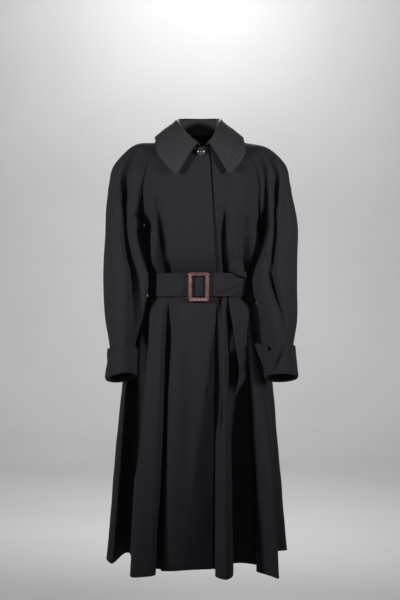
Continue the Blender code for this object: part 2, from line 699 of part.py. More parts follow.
def add_collar():
    """Collar swept round the neck, with fine ribs across its leaf."""
    corners = []
    for sign, places in ((-1, COLLAR_PLACES), (1, COLLAR_PLACES[-2::-1])):
        for place in places:
            spots = np.array([place.base, place.crease, place.edge]) * np.array([sign, 1, 1])
            spots[:, 0] += place.shift
            corners.append(collar_profile(*spots))
    corners = np.array(corners)
    columns = 2 * COLLAR_RIBS + 1
    dense = 4 * columns // (len(corners) - 1)
    sweep = []
    for row in range(corners.shape[1]):
        fine = curve_through(corners[:, row], dense)
        length = np.concatenate([[0], np.cumsum(np.linalg.norm(np.diff(fine, axis=0), axis=1))])
        even = np.linspace(0, length[-1], columns)
        sweep.append(np.stack([np.interp(even, length, fine[:, axis]) for axis in range(3)], axis=1))
    grid = np.array(sweep)
    directions = -face_directions(grid)
    hidden = grid - directions * CLOTH
    for row in COLLAR_LEAF_ROWS:
        grid[row, 1::2] += directions[row, 1::2] * COLLAR_RIB_HEIGHT
    points = np.concatenate([grid.reshape(-1, 3), hidden.reshape(-1, 3)])
    add_object("collar", points, wall_faces(*grid.shape[:2], False), COLLAR_CLOTH)


def add_belt():
    """Belt round the waist; its ends meet behind the buckle."""
    turns = np.linspace(BELT_START_TURN, BELT_END_TURN, BELT_COLUMNS)
    heights = [BELT_TOP, (BELT_TOP + BELT_BOTTOM) / 2, BELT_BOTTOM]
    grid = np.array([[waist_point(turn, BELT_STAND_OFF, z) for turn in turns] for z in heights])
    add_wall("belt", grid, face_directions(grid), WOOL, BELT_CLOTH)


def add_belt_tail():
    """Free belt end: tucked behind the belt, then hanging in front of the skirt."""
    grid = []
    for z in TAIL_TUCK_HEIGHTS:
        turns = np.linspace(TAIL_TURN_RIGHT, TAIL_TURN_LEFT, TAIL_COLUMNS)
        grid.append([waist_point(turn, TAIL_STAND_OFF, z) for turn in turns])
    for row in TAIL_ROWS:
        right = np.array([row.right_x, row.right_y, row.z])
        left = np.array([row.left_x, row.left_y, row.z])
        grid.append([right + (left - right) * share for share in np.linspace(0, 1, TAIL_COLUMNS)])
    grid = np.array(grid)
    add_wall("belt_tail", grid, face_directions(grid), WOOL)


def rounded_corner_path():
    """Middle line of the buckle's frame and its outward directions, corner by corner."""
    half_width = (BUCKLE_WIDTH - BUCKLE_BAR) / 2
    half_height = (BUCKLE_HEIGHT - BUCKLE_BAR) / 2
    radius = BUCKLE_CORNER - BUCKLE_BAR / 2
    path = []
    for quarter in range(4):
        for step in range(BUCKLE_CORNER_STEPS):
            turn = math.pi / 2 * (quarter + step / (BUCKLE_CORNER_STEPS - 1))
            out = np.array([math.cos(turn), 0, math.sin(turn)])
            corner_turn = math.pi / 2 * (quarter + 0.5)
            corner = np.array(
                [
                    math.copysign(half_width - radius, math.cos(corner_turn)),
                    0,
                    math.copysign(half_height - radius, math.sin(corner_turn)),
                ]
            )
            path.append((corner + out * radius, out))
    return path


def add_buckle():
    """Rectangular frame with a rounded section, in front of the belt."""
    front = WAIST_Y - WAIST_HALF_DEPTH - BELT_STAND_OFF
    centre = np.array([BUCKLE_X, front - BUCKLE_GAP - BUCKLE_DEPTH / 2, BUCKLE_Z])
    forward = np.array([0, -1, 0])
    rings = []
    for spot, out in rounded_corner_path():
        ring = []
        for step in range(BUCKLE_SECTION_STEPS):
            turn = 2 * math.pi * step / BUCKLE_SECTION_STEPS
            across = math.copysign(abs(math.cos(turn)) ** BUCKLE_SQUARE, math.cos(turn)) * BUCKLE_BAR / 2
            depth = math.copysign(abs(math.sin(turn)) ** BUCKLE_SQUARE, math.sin(turn)) * BUCKLE_DEPTH / 2
            ring.append(centre + spot + out * across + forward * depth)
        rings.append(ring)
    points = np.array(rings)
    count, sides = points.shape[:2]
    faces = []
    for ring in range(count):
        for side in range(sides):
            a = ring * sides + side
            b = ring * sides + (side + 1) % sides
            c = (ring + 1) % count * sides + (side + 1) % sides
            d = (ring + 1) % count * sides + side
            faces.append((a, b, c))
            faces.append((a, c, d))
    add_object("buckle", points.reshape(-1, 3), faces, TORTOISESHELL)


def add_neck_button():
    """Domed button that lies on the lapping front at the neck."""
    front_y = profile_at(BUTTON_Z - BUTTON_RADIUS)[0]
    back_y = front_y - BUTTON_GAP
    points = [(BUTTON_X, back_y, BUTTON_Z)]
    for ring in BUTTON_RINGS:
        for side in range(BUTTON_SIDES):
            turn = 2 * math.pi * side / BUTTON_SIDES
            x = BUTTON_X + BUTTON_RADIUS * ring.radius * math.cos(turn)
            z = BUTTON_Z + BUTTON_RADIUS * ring.radius * math.sin(turn)
            points.append((x, back_y - BUTTON_DEPTH * ring.depth, z))
    points.append((BUTTON_X, back_y - BUTTON_DEPTH, BUTTON_Z))
    faces = []
    tip = len(points) - 1
    rings = len(BUTTON_RINGS)
    for side in range(BUTTON_SIDES):
        following = (side + 1) % BUTTON_SIDES
        faces.append((0, 1 + side, 1 + following))
        for ring in range(rings - 1):
            a = 1 + ring * BUTTON_SIDES + side
            b = 1 + ring * BUTTON_SIDES + following
            faces.append((a, b, b + BUTTON_SIDES))
            faces.append((a, b + BUTTON_SIDES, a + BUTTON_SIDES))
        outer = 1 + (rings - 1) * BUTTON_SIDES
        faces.append((outer + side, outer + following, tip))
    add_object("neck_button", points, faces, BUTTON_PLASTIC)


def main():
    for body in list(bpy.data.objects):
        bpy.data.objects.remove(body, do_unlink=True)
    add_trunk_and_sleeves()
    add_cuff("right_cuff", RIGHT_SLEEVE, RIGHT_CUFF)
    add_cuff("left_cuff", LEFT_SLEEVE, LEFT_CUFF)
    add_collar()
    add_belt()
    add_belt_tail()
    add_buckle()
    add_neck_button()


main()
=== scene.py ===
"""Looks of a belted raglan coat of black wool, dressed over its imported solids.

Metres, +Z up. The front faces -Y and the wearer's left is +X. Each cloth piece is a thin closed
shell on the form of the solid that it replaces, with the creases, stitches and weave added.
"""

import json
import math
from collections import namedtuple

import bpy
import numpy as np
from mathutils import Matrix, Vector

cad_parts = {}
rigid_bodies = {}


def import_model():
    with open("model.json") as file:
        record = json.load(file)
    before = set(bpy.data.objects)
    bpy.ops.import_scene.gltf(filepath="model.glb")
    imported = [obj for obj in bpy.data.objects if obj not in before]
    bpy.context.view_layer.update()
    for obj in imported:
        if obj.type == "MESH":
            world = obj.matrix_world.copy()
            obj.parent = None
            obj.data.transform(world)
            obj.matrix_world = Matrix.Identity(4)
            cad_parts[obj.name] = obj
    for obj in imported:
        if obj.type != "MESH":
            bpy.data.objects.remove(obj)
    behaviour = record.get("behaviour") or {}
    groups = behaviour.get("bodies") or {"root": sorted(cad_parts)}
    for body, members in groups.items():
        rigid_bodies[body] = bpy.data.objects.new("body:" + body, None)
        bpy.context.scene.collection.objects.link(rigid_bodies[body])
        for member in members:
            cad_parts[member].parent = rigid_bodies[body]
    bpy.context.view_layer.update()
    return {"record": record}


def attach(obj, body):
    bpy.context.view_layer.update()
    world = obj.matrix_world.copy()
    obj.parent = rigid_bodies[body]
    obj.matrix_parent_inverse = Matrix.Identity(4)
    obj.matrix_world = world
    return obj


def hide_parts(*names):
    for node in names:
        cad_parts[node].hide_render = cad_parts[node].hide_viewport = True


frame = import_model()


def rows_of(kind, rows):
    """Rows of a table with names for their columns."""
    return [kind(*row) for row in rows]


# Cloth thickness and the space left between sewn pieces
CLOTH = 0.0025
SEAM_GAP = 0.0005

# Two faces that meet at a seam share a direction when the cosine between them is over this
GENTLE_SEAM = 0.3
# Lengths under this count as none
TINY = 1e-12

# Heights: where the bodice starts to draw in, the belt with the join of the solids behind it, the hem
BLOUSE_TOP = -0.215
BELT_TOP = -0.328
WAIST_JOIN = -0.342
BELT_BOTTOM = -0.385
HEM = -1.077

# The belted waist, as an oval in plan
WAIST_HALF_WIDTH = 0.131
WAIST_HALF_DEPTH = 0.098
WAIST_Y = -0.006

# Shape of the trunk: squareness of its sections, how they meet the raglan seams, rise of the back at
# the neck, how late the bodice draws in, and heights between which its valleys deepen
SQUARE = 0.83
SEAM_TURN_NECK = math.radians(42)
SEAM_TURN_ARMPIT = math.radians(90)
BACK_NECK_RISE = 0.012
BLOUSE_POWER = 5.0
FOLD_TOP = -0.17
FOLD_FULL = -0.28

# Middle of the front and of the back at each height
Profile = namedtuple("Profile", "z front back")
PROFILES = rows_of(Profile, [
    (0.040, -0.098, 0.055),
    (-0.010, -0.107, 0.084),
    (-0.060, -0.128, 0.106),
    (-0.120, -0.146, 0.117),
    (-0.206, -0.152, 0.118),
    (-0.280, -0.141, 0.110),
    (-0.340, -0.122, 0.102),
])

# The lapping front edge slants from the neck to the belt
EDGE_NECK_X = 0.0195
EDGE_BELT_X = 0.0370

# Sections of the sleeves from neck to wrist: centre, slopes in degrees, half sizes, and how far
# round the arm the cloth reaches from the ridge to each raglan seam. x counts outward.
Station = namedtuple("Station", "name x y z tilt lean half_width half_depth wrap")
RIGHT_STATIONS = rows_of(Station, [
    ("neck", 0.040, -0.017, -0.021, 58, 16, 0.058, 0.066, 55),
    ("collar_edge", 0.104, -0.012, -0.050, 78, 5, 0.065, 0.096, 60),
    ("shoulder", 0.128, -0.005, -0.069, 52, 0, 0.088, 0.092, 80),
    ("upper_sleeve", 0.164, -0.006, -0.105, 43, 0, 0.085, 0.088, 105),
    ("above_armpit", 0.190, -0.004, -0.147, 43, 0, 0.068, 0.080, 145),
    ("armpit", 0.195, -0.005, -0.168, 38, 0, 0.061, 0.081, 180),
    ("below_armpit", 0.1995, -0.018, -0.225, 12, -10, 0.0495, 0.074, 180),
    ("above_elbow", 0.1965, -0.038, -0.290, 3, -14, 0.0535, 0.066, 180),
    ("elbow", 0.1920, -0.054, -0.350, 0, -13, 0.0580, 0.061, 180),
    ("forearm", 0.197, -0.070, -0.440, 0, -10, 0.048, 0.053, 180),
    ("cuff_top", 0.200, -0.084, -0.518, -4, -12, 0.032, 0.047, 180),
    ("sleeve_end", 0.201, -0.100, -0.583, -8, -14, 0.032, 0.047, 180),
])
LEFT_STATIONS = rows_of(Station, [
    ("neck", 0.040, -0.017, -0.021, 58, 16, 0.058, 0.066, 55),
    ("collar_edge", 0.102, -0.012, -0.052, 78, 5, 0.065, 0.096, 60),
    ("shoulder", 0.130, -0.005, -0.069, 58, 0, 0.081, 0.092, 80),
    ("upper_sleeve", 0.162, -0.006, -0.105, 46, 0, 0.082, 0.088, 105),
    ("above_armpit", 0.186, -0.004, -0.147, 46, 0, 0.065, 0.080, 145),
    ("armpit", 0.192, -0.005, -0.169, 39, 0, 0.058, 0.081, 180),
    ("below_armpit", 0.2010, -0.022, -0.225, 12, -12, 0.0500, 0.074, 180),
    ("above_elbow", 0.1950, -0.044, -0.290, 3, -16, 0.0530, 0.066, 180),
    ("elbow", 0.1885, -0.064, -0.350, 0, -15, 0.0575, 0.061, 180),
    ("forearm", 0.197, -0.088, -0.440, 0, -16, 0.047, 0.052, 180),
    ("cuff_top", 0.201, -0.112, -0.516, 0, -17, 0.032, 0.044, 180),
    ("sleeve_end", 0.201, -0.134, -0.582, 0, -15, 0.032, 0.044, 180),
])
ARMPIT_ROW = 5
WRIST_ROW = len(RIGHT_STATIONS) - 1

# Folds that run along a sleeve: rows that they pass with the turn at each, in degrees from the ridge
# (front is negative), half the width in degrees, and height over the plain sleeve. First the long ones.
Fold = namedtuple("Fold", "name places turns spread height")
RIGHT_FOLDS = rows_of(Fold, [
    ("deep_valley", (1.8, 10.8), (-50, -150), 22, -0.015),
    ("inner_ridge", (2.6, 9.8), (-92, -170), 22, 0.006),
    ("outer_streak", (2.6, 9.2), (-30, -58), 20, -0.004),
    ("back_valley", (3.6, 10.4), (70, 110), 26, -0.011),
])
LEFT_FOLDS = rows_of(Fold, [
    ("front_valley", (1.8, 8.4), (-60, -108), 22, -0.011),
    ("outer_ridge", (2.4, 7.0), (-30, -62), 20, 0.005),
    ("elbow_hook", (7.0, 9.6), (-130, -66), 22, -0.009),
    ("back_valley", (3.6, 10.4), (75, 115), 26, -0.011),
])
# Power that fades the long folds out at the raglan and underarm seams
SEAM_POWER = 8

# Lines that run down the trunk from neck to hem. share: place across the panel; tuck: depth below
# the lapping front; inset: depth under the belt; fold: depth of a valley in the bodice; then the
# place at the hem, how far the hem is lifted there, and the share of the swing that the gathers
# give right below the belt.
Line = namedtuple("Line", "name share tuck inset fold hem_x hem_y lift kick")
RIGHT_SIDE = Line("right_side", 1.0, 0, 0.003, 0, -0.198, 0.050, 0.016, 0.40)
LEFT_SIDE = Line("left_side", 0.0, 0, 0.003, 0, 0.184, 0.062, 0.016, 0.60)
RIGHT_FRONT_LINES = rows_of(Line, [
    ("front_edge", 0.00, 0, 0, 0, 0.030, -0.122, 0.006, 0.00),
    ("centre", 0.22, 0, 0, 0, -0.020, -0.136, 0.006, 0.10),
    ("pleat_edge", 0.44, 0, 0, -0.004, -0.111, -0.121, 0.005, 0.00),
    ("pleat_valley", 0.505, 0, 0.004, 0.012, -0.117, -0.045, 0.012, 0.10),
    ("fold_b_inner", 0.58, 0, 0, -0.002, -0.127, -0.188, 0.000, 0.20),
    ("fold_b_outer", 0.76, 0, 0, 0.004, -0.161, -0.205, 0.000, 0.25),
    ("fold_b_back", 0.89, 0, 0.002, 0, -0.173, -0.075, 0.002, 0.30),
    RIGHT_SIDE,
])
BACK_LINES = rows_of(Line, [
    RIGHT_SIDE._replace(share=0.0),
    ("fold_a_front", 0.05, 0, 0, -0.003, -0.230, -0.002, -0.002, 0.50),
    ("fold_a_side", 0.11, 0, 0, -0.009, -0.250, 0.060, 0.003, 0.50),
    ("back_hollow_1", 0.19, 0, 0.003, 0.002, -0.210, 0.150, 0.006, 0.35),
    ("back_fold_1", 0.27, 0, 0, 0, -0.186, 0.222, 0.000, 0.30),
    ("back_hollow_2", 0.35, 0, 0.003, 0.005, -0.120, 0.172, 0.008, 0.25),
    ("back_fold_2", 0.43, 0, 0, 0, -0.078, 0.240, 0.000, 0.25),
    ("back_hollow_3", 0.50, 0, 0.003, 0.005, -0.012, 0.188, 0.006, 0.20),
    ("back_fold_3", 0.57, 0, 0, 0, 0.034, 0.245, -0.002, 0.25),
    ("back_hollow_4", 0.65, 0, 0.003, 0.004, 0.092, 0.180, 0.007, 0.25),
    ("back_fold_4", 0.73, 0, 0, 0, 0.146, 0.232, 0.000, 0.30),
    ("back_hollow_5", 0.81, 0, 0.003, 0.002, 0.172, 0.158, 0.006, 0.30),
    ("fold_f", 0.91, 0, 0, -0.008, 0.229, 0.168, 0.004, 0.42),
    LEFT_SIDE._replace(share=1.0),
])
LEFT_FRONT_LINES = rows_of(Line, [
    LEFT_SIDE,
    ("panel_e_corner", 0.24, 0, 0, 0, 0.183, -0.194, -0.0035, 0.06),
    ("bodice_valley", 0.40, 0, 0, 0.010, 0.173, -0.172, -0.003, 0.06),
    ("panel_e_middle", 0.52, 0, 0, -0.002, 0.154, -0.146, -0.002, 0.06),
    ("panel_e_inner", 0.64, 0, 0, 0.002, 0.122, -0.096, -0.001, 0.06),
    ("valley_d", 0.74, 0, 0.004, 0.009, 0.094, -0.057, 0.006, 0.10),
    ("fold_d_outer", 0.83, 0, 0, 0.004, 0.086, -0.163, 0.000, 0.12),
    ("fold_d_front", 0.885, 0, 0, 0, 0.058, -0.224, -0.002, 0.12),
    ("fold_d_inner", 0.935, 0, 0.001, 0, 0.036, -0.198, 0.000, 0.12),
    ("lap_turn", 1.00, 0.0075, 0, 0, 0.045, -0.128, 0.004, 0.05),
    ("lap_middle", 1.17, 0.0075, 0, 0, 0.014, -0.108, 0.006, 0.05),
    ("lap_edge", 1.42, 0.0075, 0, 0, -0.044, -0.116, 0.008, 0.05),
])
# How soon below the belt the gathers have given their share
KICK_POWER = 14

# Rows of every trunk panel: yoke, bodice, behind the belt and skirt
YOKE_ROWS = np.linspace(0, ARMPIT_ROW, 41)
BODICE_HEIGHTS = np.concatenate([np.linspace(-0.250, -0.294, 14), np.linspace(-0.2955, -0.334, 34)])
BELT_HEIGHTS = np.linspace(WAIST_JOIN, BELT_BOTTOM, 7)
SKIRT_SHARES = np.linspace(0, 1, 71)[1:] ** 1.35
SLEEVE_LOWER_ROWS = np.linspace(ARMPIT_ROW, WRIST_ROW, 81)[1:]
STEPS_PER_LINE = 16
BACK_STEPS_PER_LINE = 11
SLEEVE_HALF_STEPS = 64

# Turn-down collar: sewn edge, crease and outer edge at places from the front end to the back,
# for one side, with a sideways shift of the whole place
Place = namedtuple("Place", "name shift base crease edge")
COLLAR_PLACES = rows_of(Place, [
    ("front_end", 0.005, (0.010, -0.106, -0.004), (0.014, -0.113, 0.001), (0.067, -0.148, -0.083)),
    ("front", 0.001, (0.038, -0.094, -0.002), (0.034, -0.100, 0.021), (0.108, -0.124, -0.030)),
    ("side_front", -0.004, (0.055, -0.062, 0.009), (0.049, -0.065, 0.049), (0.112, -0.064, 0.015)),
    ("side", -0.006, (0.061, -0.016, 0.037), (0.056, -0.015, 0.070), (0.111, -0.010, 0.026)),
    ("side_back", -0.003, (0.048, 0.036, 0.036), (0.047, 0.036, 0.079), (0.090, 0.066, 0.024)),
    ("back", 0.000, (0.000, 0.056, 0.039), (0.000, 0.058, 0.081), (0.000, 0.104, 0.006)),
])
COLLAR_ROLL = 0.0055
# Point of the collar's profile that lies on the crease
COLLAR_CREASE = 3
# How the collar's points are rounded: length along the edge, and share of the leaf that is taken off
COLLAR_ROUND = 0.008
COLLAR_ROUND_SHARE = 0.16
# Ribs across the leaf: number, height, how they grow from the fold (0) to the edge (1) while the rows of
# the collar are counted over this range, strength at one end and growth to the other, and waves that
# make their spacing and their strength uneven
COLLAR_RIBS = 92
COLLAR_RIB_HEIGHT = 0.0010
COLLAR_RIB_RANGE = (-2, 1)
COLLAR_RIB_START = 0.8
COLLAR_RIB_GROWTH = 0.4
Wave = namedtuple("Wave", "name height turns start")
COLLAR_SPACING_WAVES = rows_of(Wave, [
    ("slow", 0.005, 9, 0),
    ("quick", 0.003, 17.3, 1),
])
COLLAR_STRENGTH_WAVES = rows_of(Wave, [
    ("slow", 0.35, 3.3, 0.4 * math.pi),
    ("quick", 0.2, 7.7, 0),
])

# Turned-back cuffs, from the upper edge down: height over the fold, half sizes, sideways shift
CuffRow = namedtuple("CuffRow", "name height half_width half_depth shift")
RIGHT_CUFF = rows_of(CuffRow, [
    ("upper_edge", 0.076, 0.0378, 0.0535, 0.000),
    ("bulge", 0.065, 0.0398, 0.0555, -0.001),
    ("middle", 0.045, 0.0388, 0.0545, -0.001),
    ("lower", 0.020, 0.0405, 0.0560, 0.001),
])
LEFT_CUFF = rows_of(CuffRow, [
    ("upper_edge", 0.080, 0.0500, 0.0560, -0.012),
    ("upper", 0.062, 0.0485, 0.0550, -0.009),
    ("middle", 0.042, 0.0455, 0.0540, -0.004),
    ("lower", 0.020, 0.0430, 0.0530, 0.000),
])
CUFF_BELOW_SLEEVE = 0.009
CUFF_FOLD = 0.003

# Belt and its hanging end
BELT_CLOTH = 0.003
BELT_STAND_OFF = 0.0085
BELT_START_TURN = 6.0
BELT_END_TURN = -353.2
TAIL_STAND_OFF = 0.0038
TAIL_TURN_LEFT = 32.0
TAIL_TURN_RIGHT = 49.0
TAIL_TUCK_HEIGHTS = [-0.352, -0.386]
TailRow = namedtuple("TailRow", "z left_x left_y right_x right_y")
TAIL_ROWS = rows_of(TailRow, [
    (-0.420, 0.074, -0.110, 0.110, -0.090),
    (-0.470, 0.081, -0.121, 0.113, -0.102),
    (-0.522, 0.090, -0.129, 0.115, -0.113),
    (-0.560, 0.096, -0.135, 0.115, -0.119),
    (-0.600, 0.092, -0.142, 0.111, -0.126),
    (-0.630, 0.086, -0.147, 0.101, -0.132),
])

# Buckle: place, size, squareness of its section, corners and the groove round its face
BUCKLE_X = -0.006
BUCKLE_Z = -0.362
BUCKLE_WIDTH = 0.053
BUCKLE_HEIGHT = 0.074
BUCKLE_BAR = 0.0105
BUCKLE_DEPTH = 0.0055
BUCKLE_GAP = 0.0006
BUCKLE_SQUARE = 0.42
BUCKLE_OUTER_CORNER = 0.0050
BUCKLE_INNER_CORNER = 0.0012
BUCKLE_GROOVE_AT = 0.0012
BUCKLE_GROOVE_WIDTH = 0.0009
BUCKLE_GROOVE_DEPTH = 0.0006

# Neck button
BUTTON_X = -0.0005
BUTTON_Z = -0.022
BUTTON_RADIUS = 0.010
BUTTON_DEPTH = 0.0045
BUTTON_GAP = 0.0008
# Rings from the back to the front: share of the radius, share of the depth
ButtonRing = namedtuple("ButtonRing", "name radius depth")
BUTTON_RINGS = rows_of(ButtonRing, [
    ("back", 0.86, 0.00),
    ("widest", 1.00, 0.35),
    ("rim_outside", 0.94, 0.80),
    ("rim_top", 0.72, 0.90),
    ("rim_inside", 0.55, 0.72),
])

# Creases over the trunk, in the front or back view: where each starts and ends, how far it bows
# sideways, half its width, and its height
Crease = namedtuple("Crease", "name x_top z_top x_low z_low bow width depth")
RIGHT_FRONT_CREASES = rows_of(Crease, [
    ("pleat_valley", -0.1165, -0.130, -0.0665, -0.410, 0.000, 0.0050, -0.017),
    ("pleat_lip", -0.100, -0.150, -0.056, -0.400, 0.000, 0.010, 0.004),
    ("armpit_drag", -0.150, -0.140, -0.116, -0.245, -0.004, 0.008, -0.006),
    ("side_recess", -0.142, -0.175, -0.138, -0.345, 0.000, 0.006, -0.018),
    ("chest_hollow", -0.070, -0.060, -0.085, -0.190, 0.004, 0.022, -0.003),
    ("edge_hollow", 0.000, -0.070, 0.012, -0.300, 0.004, 0.014, -0.0018),
    ("skirt_soft", -0.030, -0.400, -0.040, -0.960, 0.004, 0.016, -0.003),
    ("skirt_swell", -0.062, -0.380, -0.100, -1.600, 0.000, 0.034, 0.020),
    ("pleat_shadow", -0.077, -0.440, -0.122, -1.400, 0.000, 0.007, -0.032),
    ("skirt_soft_inner", -0.010, -0.450, -0.004, -0.900, -0.003, 0.014, -0.002),
    ("tack_pucker", 0.011, -0.614, 0.012, -0.644, 0.004, 0.0032, -0.0020),
    ("tack_pucker_outer", 0.021, -0.612, 0.023, -0.646, -0.004, 0.0032, -0.0022),
    ("gap_upper", -0.141, -0.390, -0.176, -0.860, 0.000, 0.009, -0.030),
])
LEFT_FRONT_CREASES = rows_of(Crease, [
    ("inner_valley", 0.061, -0.150, 0.0665, -0.390, 0.000, 0.0075, -0.027),
    ("lap_slope", 0.046, -0.120, 0.054, -0.390, 0.000, 0.011, -0.009),
    ("middle_ridge", 0.080, -0.140, 0.088, -0.330, 0.003, 0.012, 0.005),
    ("outer_valley", 0.117, -0.180, 0.117, -0.410, 0.000, 0.0060, -0.032),
    ("chest_hollow", 0.075, -0.060, 0.088, -0.170, -0.004, 0.022, -0.003),
    ("shoulder_drag", 0.060, -0.075, 0.100, -0.150, 0.004, 0.010, -0.003),
    ("lap_shadow", 0.0460, -0.345, 0.0445, -0.740, 0.000, 0.0060, -0.032),
    ("skirt_recess", 0.100, -0.385, 0.116, -1.400, 0.000, 0.017, -0.045),
])
BACK_CREASES = rows_of(Crease, [
    ("right_valley", -0.085, -0.110, -0.062, -0.334, -0.004, 0.013, -0.006),
    ("right_ridge", -0.050, -0.130, -0.040, -0.334, 0.003, 0.013, 0.004),
    ("middle_hollow", 0.004, -0.090, -0.006, -0.330, 0.004, 0.016, -0.005),
    ("left_ridge", 0.040, -0.120, 0.034, -0.334, -0.003, 0.012, 0.004),
    ("left_valley", 0.092, -0.120, 0.070, -0.334, 0.004, 0.012, -0.007),
    ("shoulder_drag", -0.120, -0.070, -0.060, -0.170, 0.006, 0.012, -0.003),
    ("shoulder_drag_left", 0.116, -0.066, 0.070, -0.176, -0.006, 0.012, -0.003),
])
# Low folds of the belt where its free end is tucked in
BELT_CREASES = rows_of(Crease, [
    ("tuck_line", 0.114, -0.344, 0.030, -0.373, 0.004, 0.0050, 0.0032),
    ("tuck_fold", 0.084, -0.328, 0.116, -0.352, 0.000, 0.0040, 0.0036),
    ("under_tuck", 0.112, -0.354, 0.070, -0.384, 0.003, 0.0050, 0.0028),
])
# Power that fades the creases out at both ends
CREASE_FADE = 0.7

# Fuller places at both sides of the trunk: height, reach up and down, how far they stand out, and the
# y behind which they do. Then how softly they start there, and the x between which they grow.
Fullness = namedtuple("Fullness", "name z reach out from_y")
SIDE_FULLNESS = rows_of(Fullness, [
    ("under_arm", -0.234, 0.026, 0.0145, 0.032),
    ("over_belt", -0.319, 0.011, 0.0080, -0.010),
    ("under_belt", -0.3916, 0.0065, 0.0200, -0.010),
])
FULLNESS_EASE = 0.015
FULLNESS_X = (0.090, 0.125)

# Rows between the armpit and the bodice, and how the trunk is smoothed up and down there
ARMPIT_STEPS = 14
SOFT_ROWS = 16
SOFT_ROUNDS = 40
SOFT_FROM_SEAM = 0.020

# Sharper creases over the long folds of the sleeves
RIGHT_SLEEVE_CREASES = rows_of(Fold, [
    (
        "deep_valley",
        (1.6, 3, 4, 5, 6, 7, 8, 9, 10.6),
        (-40, -56, -88, -95, -108, -114, -124, -150, -172),
        10,
        -0.034,
    ),
    ("valley_lip", (3, 5, 7, 9, 10.2), (-80, -122, -136, -166, -176), 9, 0.005),
    ("streak_low", (3.0, 9.4), (-60, -82), 6, -0.004),
    ("streak_high", (3.4, 9.0), (-38, -56), 6, -0.003),
    ("armpit_fill", (3.0, 4.5, 6.0), (-104, -126, -138), 13, 0.007),
    ("elbow_pucker", (7.4, 9.0), (-150, -100), 8, -0.004),
    ("back_valley", (3.6, 10.4), (72, 112), 10, -0.008),
    ("back_streak", (4.2, 8.8), (40, 60), 8, -0.004),
])
LEFT_SLEEVE_CREASES = rows_of(Fold, [
    ("front_valley", (1.8, 3, 4, 5, 6, 7, 8, 8.8), (-40, -54, -84, -97, -111, -108, -98, -92), 7, -0.022),
    ("armhole_valley", (1.6, 2.5, 3.5, 4.5, 5.5, 6.6), (-62, -74, -106, -140, -160, -172), 8, -0.016),
    ("outer_ridge", (2.4, 7.4), (-44, -66), 7, 0.005),
    ("high_ridge", (2.4, 6.8), (-24, -40), 7, 0.005),
    ("between_ridges", (2.6, 7.2), (-34, -53), 5, -0.004),
    ("elbow_hook", (7.0, 9.6), (-130, -66), 9, -0.010),
    ("hook_lip", (7.2, 9.4), (-112, -54), 8, 0.004),
    ("back_valley", (3.6, 10.4), (77, 117), 10, -0.008),
    ("back_streak", (4.4, 9.2), (44, 62), 8, -0.004),
])

# Bodice of the left front, which falls over the belt in a slanting fold: heights between which it
# reaches, places across where it starts, is deepest and ends, its drop, how far it stands out, and
# shares of its height at the lip and at the return behind it
BLOUSE_FOLD_TOP = -0.292
BLOUSE_FOLD_LOW = -0.3275
BLOUSE_FOLD_X = (0.050, 0.108, 0.126)
BLOUSE_FOLD_DROP = 0.024
BLOUSE_FOLD_OUT = 0.008
BLOUSE_FOLD_LIP = 0.60
BLOUSE_FOLD_RETURN = 0.90

# Cuffs: dips of the upper edge and places where it stands out, by degrees round the cuff from the side
# next to the body (180) over the front (270); then slanting creases, whose places are shares of the
# cuff's height
CuffLift = namedtuple("CuffLift", "name turn spread lower out")
CUFF_LIFT_POWER = 2
RIGHT_CUFF_LIFTS = rows_of(CuffLift, [
    ("corner", 330, 16, -0.004, 0.003),
    ("front_dip", 262, 75, 0.012, 0.000),
])
RIGHT_CUFF_CREASES = rows_of(Fold, [
    ("outer_dent", (0.15, 0.80), (330, 318), 8, -0.0020),
    ("front_dent", (0.25, 0.95), (246, 236), 9, -0.0015),
])
LEFT_CUFF_LIFTS = rows_of(CuffLift, [
    ("open_corner", 204, 17, -0.004, 0.008),
    ("swoop", 244, 20, 0.022, -0.002),
])
LEFT_CUFF_CREASES = rows_of(Fold, [
    ("slanting_crease", (0.06, 0.98), (232, 300), 7, -0.0090),
    ("slanting_ridge", (0.16, 0.98), (218, 278), 9, 0.0055),
    ("outer_dent", (0.20, 0.75), (338, 330), 10, -0.0015),
])

# Everything that makes one sleeve and its cuff, and one panel of the trunk
Sleeve = namedtuple("Sleeve", "name side stations folds creases cuff cuff_lifts cuff_creases")
RIGHT_CUFF_ROWS = (RIGHT_CUFF, RIGHT_CUFF_LIFTS, RIGHT_CUFF_CREASES)
RIGHT_SLEEVE = Sleeve("right", -1, RIGHT_STATIONS, RIGHT_FOLDS, RIGHT_SLEEVE_CREASES, *RIGHT_CUFF_ROWS)
LEFT_CUFF_ROWS = (LEFT_CUFF, LEFT_CUFF_LIFTS, LEFT_CUFF_CREASES)
LEFT_SLEEVE = Sleeve("left", 1, LEFT_STATIONS, LEFT_FOLDS, LEFT_SLEEVE_CREASES, *LEFT_CUFF_ROWS)
Panel = namedtuple("Panel", "name lines steps creases seams")
RIGHT_FRONT = Panel("right_front", RIGHT_FRONT_LINES, STEPS_PER_LINE, RIGHT_FRONT_CREASES, (-1,))
BACK = Panel("back", BACK_LINES, BACK_STEPS_PER_LINE, BACK_CREASES, (0, -1))
LEFT_FRONT = Panel("left_front", LEFT_FRONT_LINES, STEPS_PER_LINE, LEFT_FRONT_CREASES, (0,))

# Slight unevenness all over: turns for each metre along x, y and z, start and height
Ripple = namedtuple("Ripple", "per_x per_y per_z start height")
RIPPLES = rows_of(Ripple, [
    (11.0, 7.0, 2.1, 0.10, 0.0006),
    (-17.0, 9.0, 4.3, 0.45, 0.0004),
    (5.0, -13.0, 8.7, 0.70, 0.0003),
])

# How creases fade at a seam, and how the cloth dips into it
SEAM_FADE = 0.012
SEAM_DIP = 0.0008
SEAM_DIP_WIDTH = 0.0035
# How far the rims of the cloth bulge, as a share of its thickness
RIM_ROUND = 0.4

